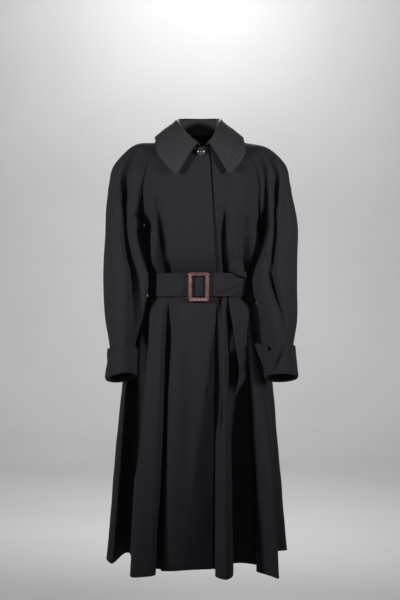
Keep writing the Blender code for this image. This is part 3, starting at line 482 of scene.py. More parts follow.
# Weave: length of a rib at scale 1, turn of the twill, depths of the ribs and of the nap, form of the
# ribs, the fibres and the slubs, places of the dark and the light shade, change of the roughness at two
# places, and sheen
WAVE_UNIT = 0.314
TWILL_TURN = 32
RIB_DEPTH = 0.00025
RIB_STRENGTH = 0.5
NAP_DEPTH = 0.0003
RIB = {"Distortion": 1.2, "Detail": 1}
FIBRE = {"Scale": 900, "Detail": 3}
SLUB = {"Scale": 230, "Detail": 4}
SHADE_PLACES = (0.12, 0.45)
ROUGHNESS_CHANGES = [(0.3, -0.06), (0.7, 0.05)]
SHEEN_ROUGHNESS = 0.45
SHEEN_TINT = (0.75, 0.78, 0.85, 1)

# Stitches of the sewing machine: length, space and thickness of the thread, and the dip that they pull
STITCH_LENGTH = 0.0030
STITCH_SPACE = 0.0010
STITCH_RADIUS = 0.00035
STITCH_SIDES = 4
# Rings along a stitch: share of its thickness and lift, at even places from end to end
STITCH_RINGS = [(0.5, -0.4), (1.0, 0.5), (0.5, -0.4)]
STITCH_DIP = 0.0011
STITCH_DIP_WIDTH = 0.0018
# Lines of stitches on the belt below its upper edge, row of the collar and columns of the belt end in
# from the edge, and a short tack on the lapping front: height, places in from the edge, threads
BELT_STITCH_LINES = (0.0028, 0.0110, 0.0542)
COLLAR_STITCH_ROW = -2
TAIL_STITCH_COLUMNS = (1, -2)
TACK_Z = -0.628
TACK_FROM_EDGE = (0.008, 0.022)
TACK_ROUNDS = 3
TACK_SPACING = 0.0008
TACK_POINTS = 8

# Soft waves of the belt and of its hanging end: height, waves along and across
BELT_WAVE = (0.0009, 5.5, 0.35)
TAIL_WAVE = (0.0035, 2.3, 0.30)
# Belt end: how much fuller its outer edge is below the belt, between which heights, and where it tapers
TAIL_FULLER = 0.012
TAIL_FULLER_HEIGHTS = (-0.385, -0.415, -0.500)
TAIL_TAPER_HEIGHTS = (-0.585, -0.630)
TAIL_TIP_SHARE = 0.12

# Camera and room
CAMERA_PLACE = (-0.0026, -3.8, -0.395)
CAMERA_LENS = 87.7
FLOOR_Z = -1.5
ROOM_RADIUS = 8.0
ROOM_TOP = 5.0
ROOM_BEND = 2.0
ROOM_SIDES = 96
ROOM_BEND_STEPS = 16

# Lamps: name, place, what they look at, size, spread in degrees and power
LAMPS = [
    ("key", (-3.0, -2.3, 0.30), (-0.05, 0, -0.25), 0.6, 42, 10.5),
    ("side", (3.0, -2.3, 0.30), (0.05, 0, -0.11), 0.6, 34, 7.0),
    ("front", (0.2, -4.4, 0.20), (0, 0, -0.35), 1.0, 40, 1.0),
    ("back", (0.0, 5.6, 2.2), (0, 0.1, -0.6), 0.8, 30, 8.0),
    ("wall_front", (0.0, -4.6, 3.4), (0, -8.0, 0.0), 1.2, 150, 60),
    ("wall", (0.0, 6.2, 2.5), (0, 8.0, 2.2), 1.0, 150, 26),
    ("wall_low", (0.0, 2.6, 4.2), (0, 7.2, -0.8), 1.2, 100, 78),
    ("floor", (0.0, 2.7, 3.2), (0, 2.5, -1.5), 1.2, 72, 22),
]
WORLD_LIGHT = 0.004

# Cloths: dark and light shade in linear red, green and blue, pitch of the ribs, and surface
Cloth = namedtuple("Cloth", "name dark light pitch roughness sheen gloss nap")
WOOL = Cloth("wool", (0.0082, 0.0083, 0.0106), (0.0203, 0.0206, 0.0252), 0.0016, 0.86, 0.03, 0.06, 0.5)
COLLAR_CLOTH = Cloth(
    "collar_cloth", (0.014, 0.014, 0.0158), (0.030, 0.030, 0.0335), 0.0008, 0.62, 0.03, 0.12, 0.25
)

# Clouded stuffs: form of the clouds with the colours along them, form of the fine marks with the
# roughness along them, and plain values
Clouded = namedtuple("Clouded", "name clouds colours marks roughness plain")
TORTOISESHELL = Clouded(
    "tortoiseshell",
    {"Scale": 75, "Detail": 5, "Roughness": 0.6, "Distortion": 1.4},
    [
        (0.30, (0.009, 0.002, 0.0015)),
        (0.45, (0.035, 0.008, 0.006)),
        (0.58, (0.07, 0.020, 0.015)),
        (0.74, (0.115, 0.048, 0.037)),
    ],
    {"Scale": 900, "Detail": 2},
    [(0.3, (0.12,) * 3), (0.8, (0.24,) * 3)],
    {"Coat_Weight": 0.22, "Coat_Roughness": 0.1, "Specular_IOR_Level": 0.32},
)
BUTTON_PLASTIC = Clouded(
    "button_plastic",
    {"Scale": 160, "Detail": 4},
    [(0.35, (0.006, 0.006, 0.007)), (0.7, (0.03, 0.028, 0.028))],
    {"Scale": 1400, "Detail": 3},
    [(0.35, (0.1,) * 3), (0.75, (0.22,) * 3)],
    {"Specular_IOR_Level": 0.6},
)
PAPER = Clouded(
    "studio_paper",
    {"Scale": 1.2, "Detail": 3},
    [(0.3, (0.66,) * 3), (0.7, (0.70,) * 3)],
    None,
    None,
    {"Roughness": 0.9},
)

# How finely the smaller pieces are made
CUFF_COLUMNS = 120
CUFF_STEPS = 7
COLLAR_COLUMNS = 691
COLLAR_FINE_STEPS = 40
COLLAR_STEPS = 6
BELT_ROWS = 40
BELT_COLUMNS = 260
TAIL_COLUMNS = 15
TAIL_STEPS = 10
BUCKLE_CORNER_STEPS = 14
BUCKLE_SECTION_STEPS = 28
BUTTON_SIDES = 64
BUTTON_STEPS = 6

# Flat cut of each cloth piece: width and length of the rectangle that it is cut from, how it is
# held, what it hangs from, and the area of the cut
Sheet = namedtuple("Sheet", "node width length held rests_on area")
BODICES = ["right_front_bodice", "left_front_bodice", "back_bodice"]
SHEETS = rows_of(Sheet, [
    ("right_front", 0.62, 1.14, "hung", ["right_sleeve_front", "belt"], 0.41),
    ("left_front", 0.70, 1.14, "hung", ["left_sleeve_front", "belt"], 0.45),
    ("back", 1.05, 1.16, "hung", ["right_sleeve_back", "left_sleeve_back", "belt"], 0.68),
    ("right_sleeve_front", 0.24, 0.68, "hung", ["right_front_bodice"], 0.10),
    ("right_sleeve_back", 0.24, 0.68, "hung", ["back_bodice"], 0.10),
    ("left_sleeve_front", 0.24, 0.68, "hung", ["left_front_bodice"], 0.10),
    ("left_sleeve_back", 0.24, 0.68, "hung", ["back_bodice"], 0.10),
    ("right_cuff", 0.31, 0.10, "folded", ["right_sleeve_front", "right_sleeve_back"], 0.0275),
    ("left_cuff", 0.31, 0.10, "folded", ["left_sleeve_front", "left_sleeve_back"], 0.025),
    ("collar", 0.60, 0.13, "folded", BODICES, 0.067),
    ("belt", 0.80, 0.057, "stretched", BODICES, 0.0456),
    ("belt_tail", 0.28, 0.045, "hung", ["belt"], 0.0105),
])

# Stitches that are sewn on a piece
SEWN_ON = {
    "right_front": "right_front_tack",
    "collar": "collar_stitches",
    "belt": "belt_stitches",
    "belt_tail": "belt_tail_stitches",
}


def unit(vectors):
    """Vectors scaled to length one."""
    lengths = np.linalg.norm(vectors, axis=-1, keepdims=True)
    return vectors / np.maximum(lengths, TINY)


def ease(start, end, value):
    """Smooth step from 0 at start to 1 at end."""
    t = np.clip((value - start) / (end - start), 0.0, 1.0)
    return t * t * (3 - 2 * t)


def bell(off):
    """Soft bump that is 1 at nought and fades out on both sides."""
    return np.exp(-off * off)


def round_ways(turns, first, second):
    """First vector times the cosine of each turn and second times its sine, added."""
    return np.cos(turns)[:, None] * first + np.sin(turns)[:, None] * second


def lengths_along(points, axis):
    """Lengths along lines of points, counted from the first point of each line."""
    steps = np.linalg.norm(np.diff(points, axis=axis), axis=-1)
    return np.concatenate([np.zeros_like(steps.take([0], axis)), np.cumsum(steps, axis=axis)], axis=axis)


def values_at(places, lengths, values):
    """Points or directions of a line, at places given as lengths along it."""
    return np.stack([np.interp(places, lengths, column) for column in values.T], axis=-1)


def hermite(start, end, slope_start, slope_end, t):
    """Cubic from start to end with the given slopes."""
    rise = t * t * (3 - 2 * t)
    return start * (1 - rise) + end * rise + slope_start * (t * (1 - t) ** 2) - slope_end * (t * t * (1 - t))


def curve_through(points, per_gap, before=None, after=None):
    """Smooth curve through points, per_gap steps in each gap; before and after only guide its ends."""
    whole = np.array([p for p in (before, *points, after) if p is not None])
    chords = np.linalg.norm(np.diff(whole, axis=0), axis=1)[:, None]
    steps = np.diff(whole, axis=0) / chords
    between = (steps[:-1] * chords[1:] + steps[1:] * chords[:-1]) / (chords[:-1] + chords[1:])
    slopes = np.concatenate([steps[:1], between, steps[-1:]])
    first = 0 if before is None else 1
    last = first + len(points) - 1
    starts = slice(first, last)
    ends = slice(first + 1, last + 1)
    slopes_out = (slopes[starts] * chords[starts])[:, None]
    slopes_in = (slopes[ends] * chords[starts])[:, None]
    t = np.arange(per_gap)[:, None] / per_gap
    curve = hermite(whole[starts, None], whole[ends, None], slopes_out, slopes_in, t)
    return np.concatenate([curve.reshape(-1, whole.shape[1]), whole[last : last + 1]])


def table_at(places, values, place):
    """Smoothly changing value of a table, given at rising places."""
    places = np.asarray(places, dtype=float)
    values = np.asarray(values, dtype=float)
    place = min(max(place, places[0]), places[-1])
    low = min(int(np.searchsorted(places, place, side="right")) - 1, len(places) - 2)
    width = places[low + 1] - places[low]
    slopes = np.gradient(values, places, axis=0) * width
    return hermite(values[low], values[low + 1], slopes[low], slopes[low + 1], (place - places[low]) / width)


def profile_at(z):
    """Middle of the front and of the back at a height."""
    rising = PROFILES[::-1]
    return table_at([row.z for row in rising], [(row.front, row.back) for row in rising], z)


# Sleeves


def sleeve_frame(sleeve, place):
    """Centre, outward and backward half axes, and wrap of a sleeve section."""
    rows = [row[1:] for row in sleeve.stations]
    x, y, z, tilt, lean, half_width, half_depth, wrap = table_at(range(len(rows)), rows, place)
    tilt = math.radians(tilt)
    lean = math.radians(lean)
    centre = np.array([sleeve.side * x, y, z])
    outward = np.array([sleeve.side * math.cos(tilt), 0, math.sin(tilt)])
    backward = np.array([0, math.cos(lean), math.sin(lean)])
    return centre, outward * half_width, backward * half_depth, math.radians(min(wrap, 180))


def fold_heights(folds, place, turns, fade):
    """Heights of folds that run along a sleeve or cuff, at many turns in degrees round one section."""
    heights = np.zeros(len(turns))
    for fold in folds:
        along = (place - fold.places[0]) / (fold.places[-1] - fold.places[0])
        if 0 < along < 1:
            off = (turns - np.interp(place, fold.places, fold.turns)) / fold.spread
            heights += fold.height * bell(off) * math.sin(math.pi * along) ** fade
    return heights


def sleeve_points(sleeve, place, shares):
    """Points of one section; shares run from -1 at the front seam over 0 on the ridge to 1."""
    centre, outward, backward, wrap = sleeve_frame(sleeve, place)
    shares = np.asarray(shares, dtype=float)
    turns = wrap * shares
    swell = fold_heights(sleeve.folds, place, np.degrees(turns), 1) * (1 - shares**SEAM_POWER)
    ways = round_ways(turns, outward, backward)
    return centre + ways + unit(ways) * swell[:, None]


def sleeve_directions(sleeve, place, shares):
    """Outward directions of the plain section."""
    _, outward, backward, wrap = sleeve_frame(sleeve, place)
    out = outward / np.dot(outward, outward)
    rear = backward / np.dot(backward, backward)
    return unit(round_ways(wrap * shares, out, rear))


def sleeve_creases(sleeve, place, shares):
    """Heights of the sharper creases over the section's long folds."""
    turns = np.degrees(sleeve_frame(sleeve, place)[3]) * shares
    return fold_heights(sleeve.creases, place, turns, CREASE_FADE)


def sleeve_grid(sleeve, row_at):
    """Points, directions or heights in rows down the sleeve, from the front seam round to the back seam."""
    shares = np.linspace(-1, 1, 2 * SLEEVE_HALF_STEPS + 1)
    return np.array([row_at(sleeve, place, shares) for place in (*YOKE_ROWS, *SLEEVE_LOWER_ROWS)])


# Trunk panels


def quarter_point(share, seam, middle, seam_turn):
    """Point of a rounded section: share 0 at the middle line, -1 or 1 at the seam."""
    turn = min(abs(share), 1.0) * seam_turn
    wide = abs(seam[0]) / math.sin(seam_turn) ** SQUARE
    deep = (seam[1] - middle) / (1 - math.cos(seam_turn) ** SQUARE)
    x = math.copysign(wide * math.sin(turn) ** SQUARE, share)
    return np.array([x, middle + deep * (1 - max(math.cos(turn), 0.0) ** SQUARE), seam[2]])


def edge_share(z, seam, seam_turn):
    """Share of the section at which the lapping front edge lies."""
    along = (BELT_TOP - z) / BELT_TOP
    edge_x = EDGE_BELT_X + (EDGE_NECK_X - EDGE_BELT_X) * min(max(along, 0.0), 1.0)
    wide = abs(seam[0]) / math.sin(seam_turn) ** SQUARE
    return math.asin((edge_x / wide) ** (1 / SQUARE)) / seam_turn


def waist_point(turn_degrees, stand_off, z):
    """Point on the waist oval, moved out by stand_off; turn 0 at the front, 90 at the left side."""
    turn = math.radians(turn_degrees)
    x = (WAIST_HALF_WIDTH + stand_off) * math.sin(turn)
    y = WAIST_Y - (WAIST_HALF_DEPTH + stand_off) * math.cos(turn)
    return np.array([x, y, z])


def moved_in(point, depth):
    """Point moved towards the upright axis of the coat."""
    inward = unit(np.array([-point[0], WAIST_Y - point[1], 0]))
    return point + inward * depth


def section_share(panel, share, edge):
    """Share of the section for a place across a panel, where the lapping edge lies at the share edge."""
    if panel is BACK:
        return 2 * share - 1
    if panel is RIGHT_FRONT:
        return edge * (1 - share) - share
    return 1 - (1 - edge) * share


def seam_sleeve(panel, share):
    """Sleeve whose raglan seam bounds the panel on that side."""
    if panel is BACK:
        return RIGHT_SLEEVE if share < 0 else LEFT_SLEEVE
    return RIGHT_SLEEVE if panel is RIGHT_FRONT else LEFT_SLEEVE


def section_point(panel, line, place, height=None):
    """Point of a line above the belt; below the armpit the armpit's section goes on at a height."""
    sleeve = seam_sleeve(panel, line.share - 0.5)
    seam = sleeve_points(sleeve, place, [1.0 if panel is BACK else -1.0])[0]
    if height is not None:
        seam[2] = height
    front, back = profile_at(seam[2])
    above = 1 - place / ARMPIT_ROW
    seam_turn = SEAM_TURN_ARMPIT + (SEAM_TURN_NECK - SEAM_TURN_ARMPIT) * above
    share = section_share(panel, line.share, edge_share(seam[2], seam, seam_turn))
    point = quarter_point(share, seam, back if panel is BACK else front, seam_turn)
    if panel is BACK:
        point[2] += BACK_NECK_RISE * above * math.cos(share * math.pi / 2) ** 2
    return moved_in(point, line.tuck + line.fold * ease(FOLD_TOP, FOLD_FULL, seam[2]))


def belted_point(panel, line, z):
    """Point of a line where the belt draws the cloth in."""
    edge = math.asin(EDGE_BELT_X / WAIST_HALF_WIDTH) / (math.pi / 2)
    share = section_share(panel, line.share, edge)
    turn = 180 - 90 * share if panel is BACK else 90 * share
    return waist_point(turn, -line.tuck - line.inset, z)


def bodice_point(panel, line, z):
    """Point of a line between armpit and belt, where the cloth blouses over the belt."""
    drawn = min((BLOUSE_TOP - z) / (BLOUSE_TOP - BELT_TOP), 1.0)
    drawn = max(drawn, 0.0) ** BLOUSE_POWER
    full = section_point(panel, line, ARMPIT_ROW, z)
    return full * (1 - drawn) + belted_point(panel, line, z) * drawn


def skirt_point(panel, line, share):
    """Point of a line between belt and hem, where the skirt swings out."""
    top = belted_point(panel, line, BELT_BOTTOM)
    hem = np.array([line.hem_x, line.hem_y, HEM + line.lift])
    out = line.kick * (1 - (1 - share) ** KICK_POWER) + (1 - line.kick) * share
    return top + (hem - top) * np.array([out, out, share])


def panel_rows(panel):
    """Points of every line of a panel, row by row from neck to hem."""
    heights = (*BODICE_HEIGHTS, *BELT_HEIGHTS)
    stretches = [(section_point, YOKE_ROWS), (bodice_point, heights), (skirt_point, SKIRT_SHARES)]
    rows = []
    for point_at, places in stretches:
        rows += [[point_at(panel, line, place) for line in panel.lines] for place in places]
    return np.array(rows)


def panel_grid(panel, rows, rows_before=None, rows_after=None):
    """Finer points of a panel; below the armpit its neighbours guide the curve across the seams."""
    grid = []
    for index, row in enumerate(rows):
        joined = index >= len(YOKE_ROWS)
        before = rows_before[index][-2] if joined and rows_before is not None else None
        after = rows_after[index][1] if joined and rows_after is not None else None
        grid.append(curve_through(row, panel.steps, before, after))
    return np.array(grid)


# Walls


def face_directions(grid, closed=False):
    """Outward direction at every point of a grid whose columns run clockwise seen from above."""
    if closed:
        across = np.roll(grid, -1, axis=1) - np.roll(grid, 1, axis=1)
    else:
        across = np.gradient(grid, axis=1)
    return unit(np.cross(across, np.gradient(grid, axis=0)))


def share_directions(first, second):
    """Gives two pieces the same direction along their seam, unless they meet at a sharp angle."""
    middle = unit(first + second)
    gentle = np.sum(first * second, axis=-1, keepdims=True) > GENTLE_SEAM
    first[:] = np.where(gentle, middle, first)
    second[:] = np.where(gentle, middle, second)


def trimmed(grid, columns):
    """Copy of a grid whose named end columns stop half a seam gap short."""
    grid = grid.copy()
    for column in columns:
        neighbour = 1 if column == 0 else -2
        grid[:, column] += unit(grid[:, neighbour] - grid[:, column]) * SEAM_GAP / 2
    return grid


# Creases that are laid over the solids' form


def crease_heights(grid, creases):
    """Heights of straight or bowed creases in the front view, soft across and fading at both ends."""
    heights = np.zeros(grid.shape[:2])
    for crease in creases:
        start = np.array([crease.x_top, crease.z_top])
        run = np.array([crease.x_low, crease.z_low]) - start
        length = np.linalg.norm(run)
        reach = grid[..., [0, 2]] - start
        along = np.clip(reach @ run / length**2, 0, 1)
        off = (reach[..., 0] * run[1] - reach[..., 1] * run[0]) / length
        off = off + crease.bow * np.sin(math.pi * along)
        heights += crease.depth * bell(off / crease.width) * np.sin(math.pi * along) ** CREASE_FADE
    return heights


def blouse_fold(grid):
    """Grid whose bodice falls over the belt in a slanting fold and turns up again behind its lip."""
    start, deepest, end = BLOUSE_FOLD_X
    x = grid[..., 0]
    place = (BLOUSE_FOLD_TOP - grid[..., 2]) / (BLOUSE_FOLD_TOP - BLOUSE_FOLD_LOW)
    reach = ease(start, deepest, x) * (1 - ease(deepest, end, x)) * (grid[..., 1] < WAIST_Y)
    fall = ease(0, BLOUSE_FOLD_LIP, place) * (1 - ease(BLOUSE_FOLD_LIP, BLOUSE_FOLD_RETURN, place))
    stand = ease(0, BLOUSE_FOLD_LIP, place) * (1 - ease(BLOUSE_FOLD_RETURN, 1, place))
    outward = unit((grid - np.array([0, WAIST_Y, 0])) * np.array([1, 1, 0]))
    moved = grid + outward * (BLOUSE_FOLD_OUT * reach * stand)[..., None]
    moved[..., 2] -= BLOUSE_FOLD_DROP * reach * fall
    return moved


def side_distance(grid, column):
    """Length along each row from one side of a grid."""
    lengths = lengths_along(grid, 1)
    return lengths if column == 0 else lengths[:, -1:] - lengths


def armpit_rows(grid, seams):
    """Grid with more rows between the armpit and the bodice, smoothed up and down away from its seams."""
    yoke = len(YOKE_ROWS)
    shares = np.linspace(0, 1, ARMPIT_STEPS + 2)[1:-1, None, None]
    between = grid[yoke - 1] * (1 - shares) + grid[yoke] * shares
    soft = np.concatenate([grid[:yoke], between, grid[yoke:]])
    away = np.ones(soft.shape[:2])
    for column in seams:
        away *= 1 - bell(side_distance(soft, column) / SOFT_FROM_SEAM)
    rows = slice(yoke - SOFT_ROWS, yoke + ARMPIT_STEPS + SOFT_ROWS)
    for _ in range(SOFT_ROUNDS):
        blurred = (np.roll(soft, 1, axis=0) + 2 * soft + np.roll(soft, -1, axis=0)) / 4
        soft[rows] += (blurred[rows] - soft[rows]) * away[rows, :, None]
    return soft


def fuller_sides(grid):
    """Grid of the trunk that is fuller at both sides, where it shows beside the sleeves."""
    x, y, z = np.moveaxis(grid, 2, 0)
    reach = ease(*FULLNESS_X, np.abs(x))
    moved = grid.copy()
    for full in SIDE_FULLNESS:
        behind = ease(full.from_y - FULLNESS_EASE, full.from_y + FULLNESS_EASE, y)
        moved[..., 0] += np.sign(x) * full.out * reach * behind * bell((z - full.z) / full.reach)
    return moved


def ripple_heights(grid):
    """Slight unevenness of the hanging cloth."""
    heights = np.zeros(grid.shape[:2])
    for ripple in RIPPLES:
        turns = grid @ np.array([ripple.per_x, ripple.per_y, ripple.per_z]) + ripple.start
        heights += ripple.height * np.sin(2 * math.pi * turns)
    return heights


def creased(grid, directions, heights, seams):
    """Grid moved out by heights, which fade towards its seams, where the cloth dips into the seam."""
    move = heights.copy()
    for column in seams:
        distance = side_distance(grid, column)
        move *= 1 - bell(distance / SEAM_FADE)
        move -= SEAM_DIP * bell(distance / SEAM_DIP_WIDTH)
    return grid + directions * move[..., None]


# Cloth shells


def closed_up(values):
    """Grid whose first column comes again at its end."""
    return np.concatenate([values, values[:, :1]], axis=1)


def cloth_lengths(grid, closed):
    """Lengths along the cloth across and down a grid, for the weave."""
    around = closed_up(grid) if closed else grid
    u = lengths_along(around, 1)
    return np.stack([u - u.mean(axis=1, keepdims=True), lengths_along(around, 0)], axis=2)


def quads_of(values):
    """The four corners of every cell of a grid of values."""
    return np.stack([values[:-1, :-1], values[:-1, 1:], values[1:, 1:], values[1:, :-1]], axis=2)


def add_object(name, data):
    """New object in the scene."""
    made = bpy.data.objects.new(name, data)
    bpy.context.scene.collection.objects.link(made)
    return made


def mesh_object(name, points, faces, places, material):
    """Smooth object from points, four-cornered faces and the cloth lengths at their corners."""
    corners = points[faces]
    middles = np.cross(corners[:, 2] - corners[:, 0], corners[:, 3] - corners[:, 1])
    if np.sum(corners.mean(axis=1) * middles) < 0:
        faces = faces[:, ::-1]
        places = places[:, ::-1]
    mesh = bpy.data.meshes.new(name)
    mesh.from_pydata(points.tolist(), [], faces.tolist())
    layer = mesh.uv_layers.new(name="cloth")
    layer.data.foreach_set("uv", places.reshape(-1).astype(np.float32))
    mesh.shade_smooth()
    mesh.materials.append(material)
    return add_object(name, mesh)


def add_shell(name, visible, directions, material, thickness=CLOTH, closed=False):
    """Closed cloth shell: visible face, hidden face one thickness behind it, and a rounded rim."""
    rows, columns = visible.shape[:2]
    count = rows * columns
    front = visible.reshape(-1, 3)
    rear = front - directions.reshape(-1, 3) * thickness
    index = np.arange(count).reshape(rows, columns)
    lengths = cloth_lengths(visible, closed)
    if closed:
        rims = [index[0], index[-1, ::-1]]
        index = closed_up(index)
    else:
        rims = [np.concatenate([index[0, :-1], index[:-1, -1], index[-1, :0:-1], index[:0:-1, 0]])]
    cells = quads_of(index).reshape(-1, 4)
    cell_places = quads_of(lengths).reshape(-1, 4, 2)
    flat_lengths = lengths[:, :columns].reshape(-1, 2)
    points = [front, rear]
    faces = [cells, cells[:, ::-1] + count]
    places = [cell_places, cell_places[:, ::-1]]
    total = 2 * count
    for rim in rims:
        row = np.clip(rim // columns, 1, rows - 2)
        column = rim % columns if closed else np.clip(rim % columns, 1, columns - 2)
        outward = unit(front[rim] - front[row * columns + column])
        points.append((front[rim] + rear[rim]) / 2 + outward * thickness * RIM_ROUND)
        middle = total + np.arange(len(rim))
        total += len(rim)
        after = np.roll(rim, -1)
        middle_after = np.roll(middle, -1)
        faces.append(np.stack([rim, middle, middle_after, after], axis=1))
        faces.append(np.stack([middle, rim + count, after + count, middle_after], axis=1))
        rim_places = flat_lengths[np.stack([rim, rim, after, after], axis=1)]
        places += [rim_places, rim_places]
    return mesh_object(name, np.concatenate(points), np.concatenate(faces), np.concatenate(places), material)


def end_cells(first, sides):
    """Four-cornered faces that fill a ring with an even number of sides."""
    steps = np.arange(sides // 2 - 1)
    return first + np.stack([steps, steps + 1, sides - 2 - steps, sides - 1 - steps], axis=1)


def ring_cells(first, count, sides, closed=False):
    """Faces of a sweep through rings of points; open sweeps have a flat face at each end."""
    index = closed_up(first + np.arange(count * sides).reshape(count, sides))
    if closed:
        return quads_of(np.concatenate([index, index[:1]])).reshape(-1, 4)
    ends = [end_cells(first, sides)[:, ::-1], end_cells(first + (count - 1) * sides, sides)]
    return np.concatenate([quads_of(index).reshape(-1, 4), *ends])


def plain_object(name, points, cells, material):
    """Object without a weave."""
    return mesh_object(name, points.reshape(-1, 3), cells, np.zeros((len(cells), 4, 2)), material)


# Materials


class Stuff:
    """One procedural material and short ways to add nodes to it."""

    def __init__(self, name):
        self.material = bpy.data.materials.new(name)
        self.material.use_nodes = True
        self.nodes = self.material.node_tree.nodes
        self.links = self.material.node_tree.links

    def fill(self, node, inputs):
        """Sets values on the inputs of a node or leads sockets into them, with _ for a space in names."""
        for key, value in inputs.items():
            socket = node.inputs[key.replace("_", " ")]
            if isinstance(value, bpy.types.NodeSocket):
                self.links.new(value, socket)
            else:
                socket.default_value = value
        return node

    def add(self, kind, **inputs):
        """New node with its inputs."""
        return self.fill(self.nodes.new(kind), inputs)

    def shade(self, **inputs):
        """Sets inputs of the shader."""
        self.fill(self.nodes["Principled BSDF"], inputs)

    def noise(self, place, **form):
        """Grey noise at a place."""
        return self.add("ShaderNodeTexNoise", Vector=place, **form).outputs["Fac"]

    def ramp(self, factor, stops):
        """Colours or grey levels along a factor."""
        made = self.add("ShaderNodeValToRGB", Fac=factor)
        elements = made.color_ramp.elements
        while len(elements) < len(stops):
            elements.new(0.5)
        for element, (place, colour) in zip(elements, stops):
            element.position = place
            element.color = (*colour, 1)
        return made.outputs["Color"]

    def bump(self, **inputs):
        """Bump of a height in metres."""
        return self.add("ShaderNodeBump", **inputs).outputs["Normal"]


def cloth_place(stuff, turn_degrees):
    """Cloth lengths in metres, turned in the plane of the cloth."""
    lengths = stuff.add("ShaderNodeUVMap")
    lengths.uv_map = "cloth"
    turn = (0, 0, math.radians(turn_degrees))
    return stuff.add("ShaderNodeMapping", Vector=lengths.outputs["UV"], Rotation=turn).outputs["Vector"]


def woven_stuff(cloth):
    """Twill cloth: diagonal ribs, a short nap, and slight changes of shade."""
    stuff = Stuff(cloth.name)
    turned = cloth_place(stuff, TWILL_TURN)
    rib = stuff.add("ShaderNodeTexWave", Vector=turned, Scale=WAVE_UNIT / cloth.pitch, **RIB).outputs["Fac"]
    fibre = stuff.noise(cloth_place(stuff, 0), **FIBRE)
    slub = stuff.noise(cloth_place(stuff, 0), **SLUB)
    shade = stuff.add("ShaderNodeMath", Value=fibre)
    shade.operation = "MULTIPLY"
    stuff.links.new(slub, shade.inputs[1])
    roughness = [(place, (cloth.roughness + change,) * 3) for place, change in ROUGHNESS_CHANGES]
    ribbed = stuff.bump(Height=rib, Distance=RIB_DEPTH, Strength=RIB_STRENGTH)
    stuff.shade(
        Base_Color=stuff.ramp(shade.outputs["Value"], list(zip(SHADE_PLACES, (cloth.dark, cloth.light)))),
        Roughness=stuff.ramp(slub, roughness),
        Normal=stuff.bump(Height=fibre, Distance=NAP_DEPTH, Strength=cloth.nap, Normal=ribbed),
        Sheen_Weight=cloth.sheen,
        Sheen_Roughness=SHEEN_ROUGHNESS,
        Sheen_Tint=SHEEN_TINT,
        Specular_IOR_Level=cloth.gloss,
    )
    return stuff.material


def clouded_stuff(clouded):
    """Clouded plastic or paper, with fine marks in its polish."""
    stuff = Stuff(clouded.name)
    place = stuff.add("ShaderNodeTexCoord").outputs["Object"]
    stuff.shade(Base_Color=stuff.ramp(stuff.noise(place, **clouded.clouds), clouded.colours), **clouded.plain)
    if clouded.marks:
        stuff.shade(Roughness=stuff.ramp(stuff.noise(place, **clouded.marks), clouded.roughness))
    return stuff.material


# Sewing


def stitch_rings(spots, ways):
    """Small spindle rings of every stitch along a line of points with outward directions."""
    turns = np.linspace(0, 2 * math.pi, STITCH_SIDES, endpoint=False)
    lengths = lengths_along(spots, 0)
    rings = []
    for start in np.arange(STITCH_SPACE, lengths[-1] - STITCH_LENGTH, STITCH_LENGTH + STITCH_SPACE):
        places = start + STITCH_LENGTH * np.linspace(0, 1, len(STITCH_RINGS))
        middles = values_at(places, lengths, spots)
        way = unit(values_at(places[1], lengths, ways))
        side = unit(np.cross(way, middles[-1] - middles[0]))
        ring = round_ways(turns, side, way)
        for spot, (share, lift) in zip(middles, STITCH_RINGS):
            rings.append(spot + way * lift * STITCH_RADIUS + ring * STITCH_RADIUS * share)
    return rings


def add_stitches(name, lines, material):
    """Rows of machine stitches; each line is a list of points with their outward directions."""
    points = np.concatenate([stitch_rings(spots, ways) for spots, ways in lines])
    count = len(STITCH_RINGS)
    firsts = range(0, len(points) * STITCH_SIDES, count * STITCH_SIDES)
    cells = np.concatenate([ring_cells(first, count, STITCH_SIDES) for first in firsts])
    return plain_object(name, points, cells, material)


def add_tack(grid, ways, wool):
    """Short tack that holds the lapping front: a few stitches over one another."""
    row = np.argmin(np.abs(grid[:, 0, 2] - TACK_Z))
    places = np.linspace(*TACK_FROM_EDGE, TACK_POINTS)
    spots = values_at(places, lengths_along(grid[row], 0), grid[row])
    out = np.repeat(ways[row, :1], len(places), axis=0)
    rises = np.arange(TACK_ROUNDS)[:, None] * np.array([0, 0, TACK_SPACING])
    add_stitches("right_front_tack", [(spots + rise, out) for rise in rises], wool)


# The coat's pieces


def dress_trunk(wool):
    """Fronts and back, which share their side seams."""
    panels = (RIGHT_FRONT, BACK, LEFT_FRONT)
    right, back, left = [panel_rows(panel) for panel in panels]
    grids = [
        panel_grid(RIGHT_FRONT, right, rows_after=back),
        panel_grid(BACK, back, rows_before=right, rows_after=left),
        panel_grid(LEFT_FRONT, left, rows_before=back),
    ]
    for index, panel in enumerate(panels):
        grid = armpit_rows(grids[index], panel.seams)
        heights = crease_heights(grid, panel.creases) + ripple_heights(grid)
        grids[index] = fuller_sides(creased(grid, face_directions(grid), heights, panel.seams))
    grids[-1] = blouse_fold(grids[-1])
    ways = [face_directions(grid) for grid in grids]
    yoke = len(YOKE_ROWS)
    for before, after in zip(ways, ways[1:]):
        share_directions(before[yoke:, -1], after[yoke:, 0])
    pieces = {}
    for panel, grid, way in zip(panels, grids, ways):
        pieces[panel.name] = add_shell(f"{panel.name}_cloth", trimmed(grid, panel.seams), way, wool)
    add_tack(grids[0], ways[0], wool)
    return pieces


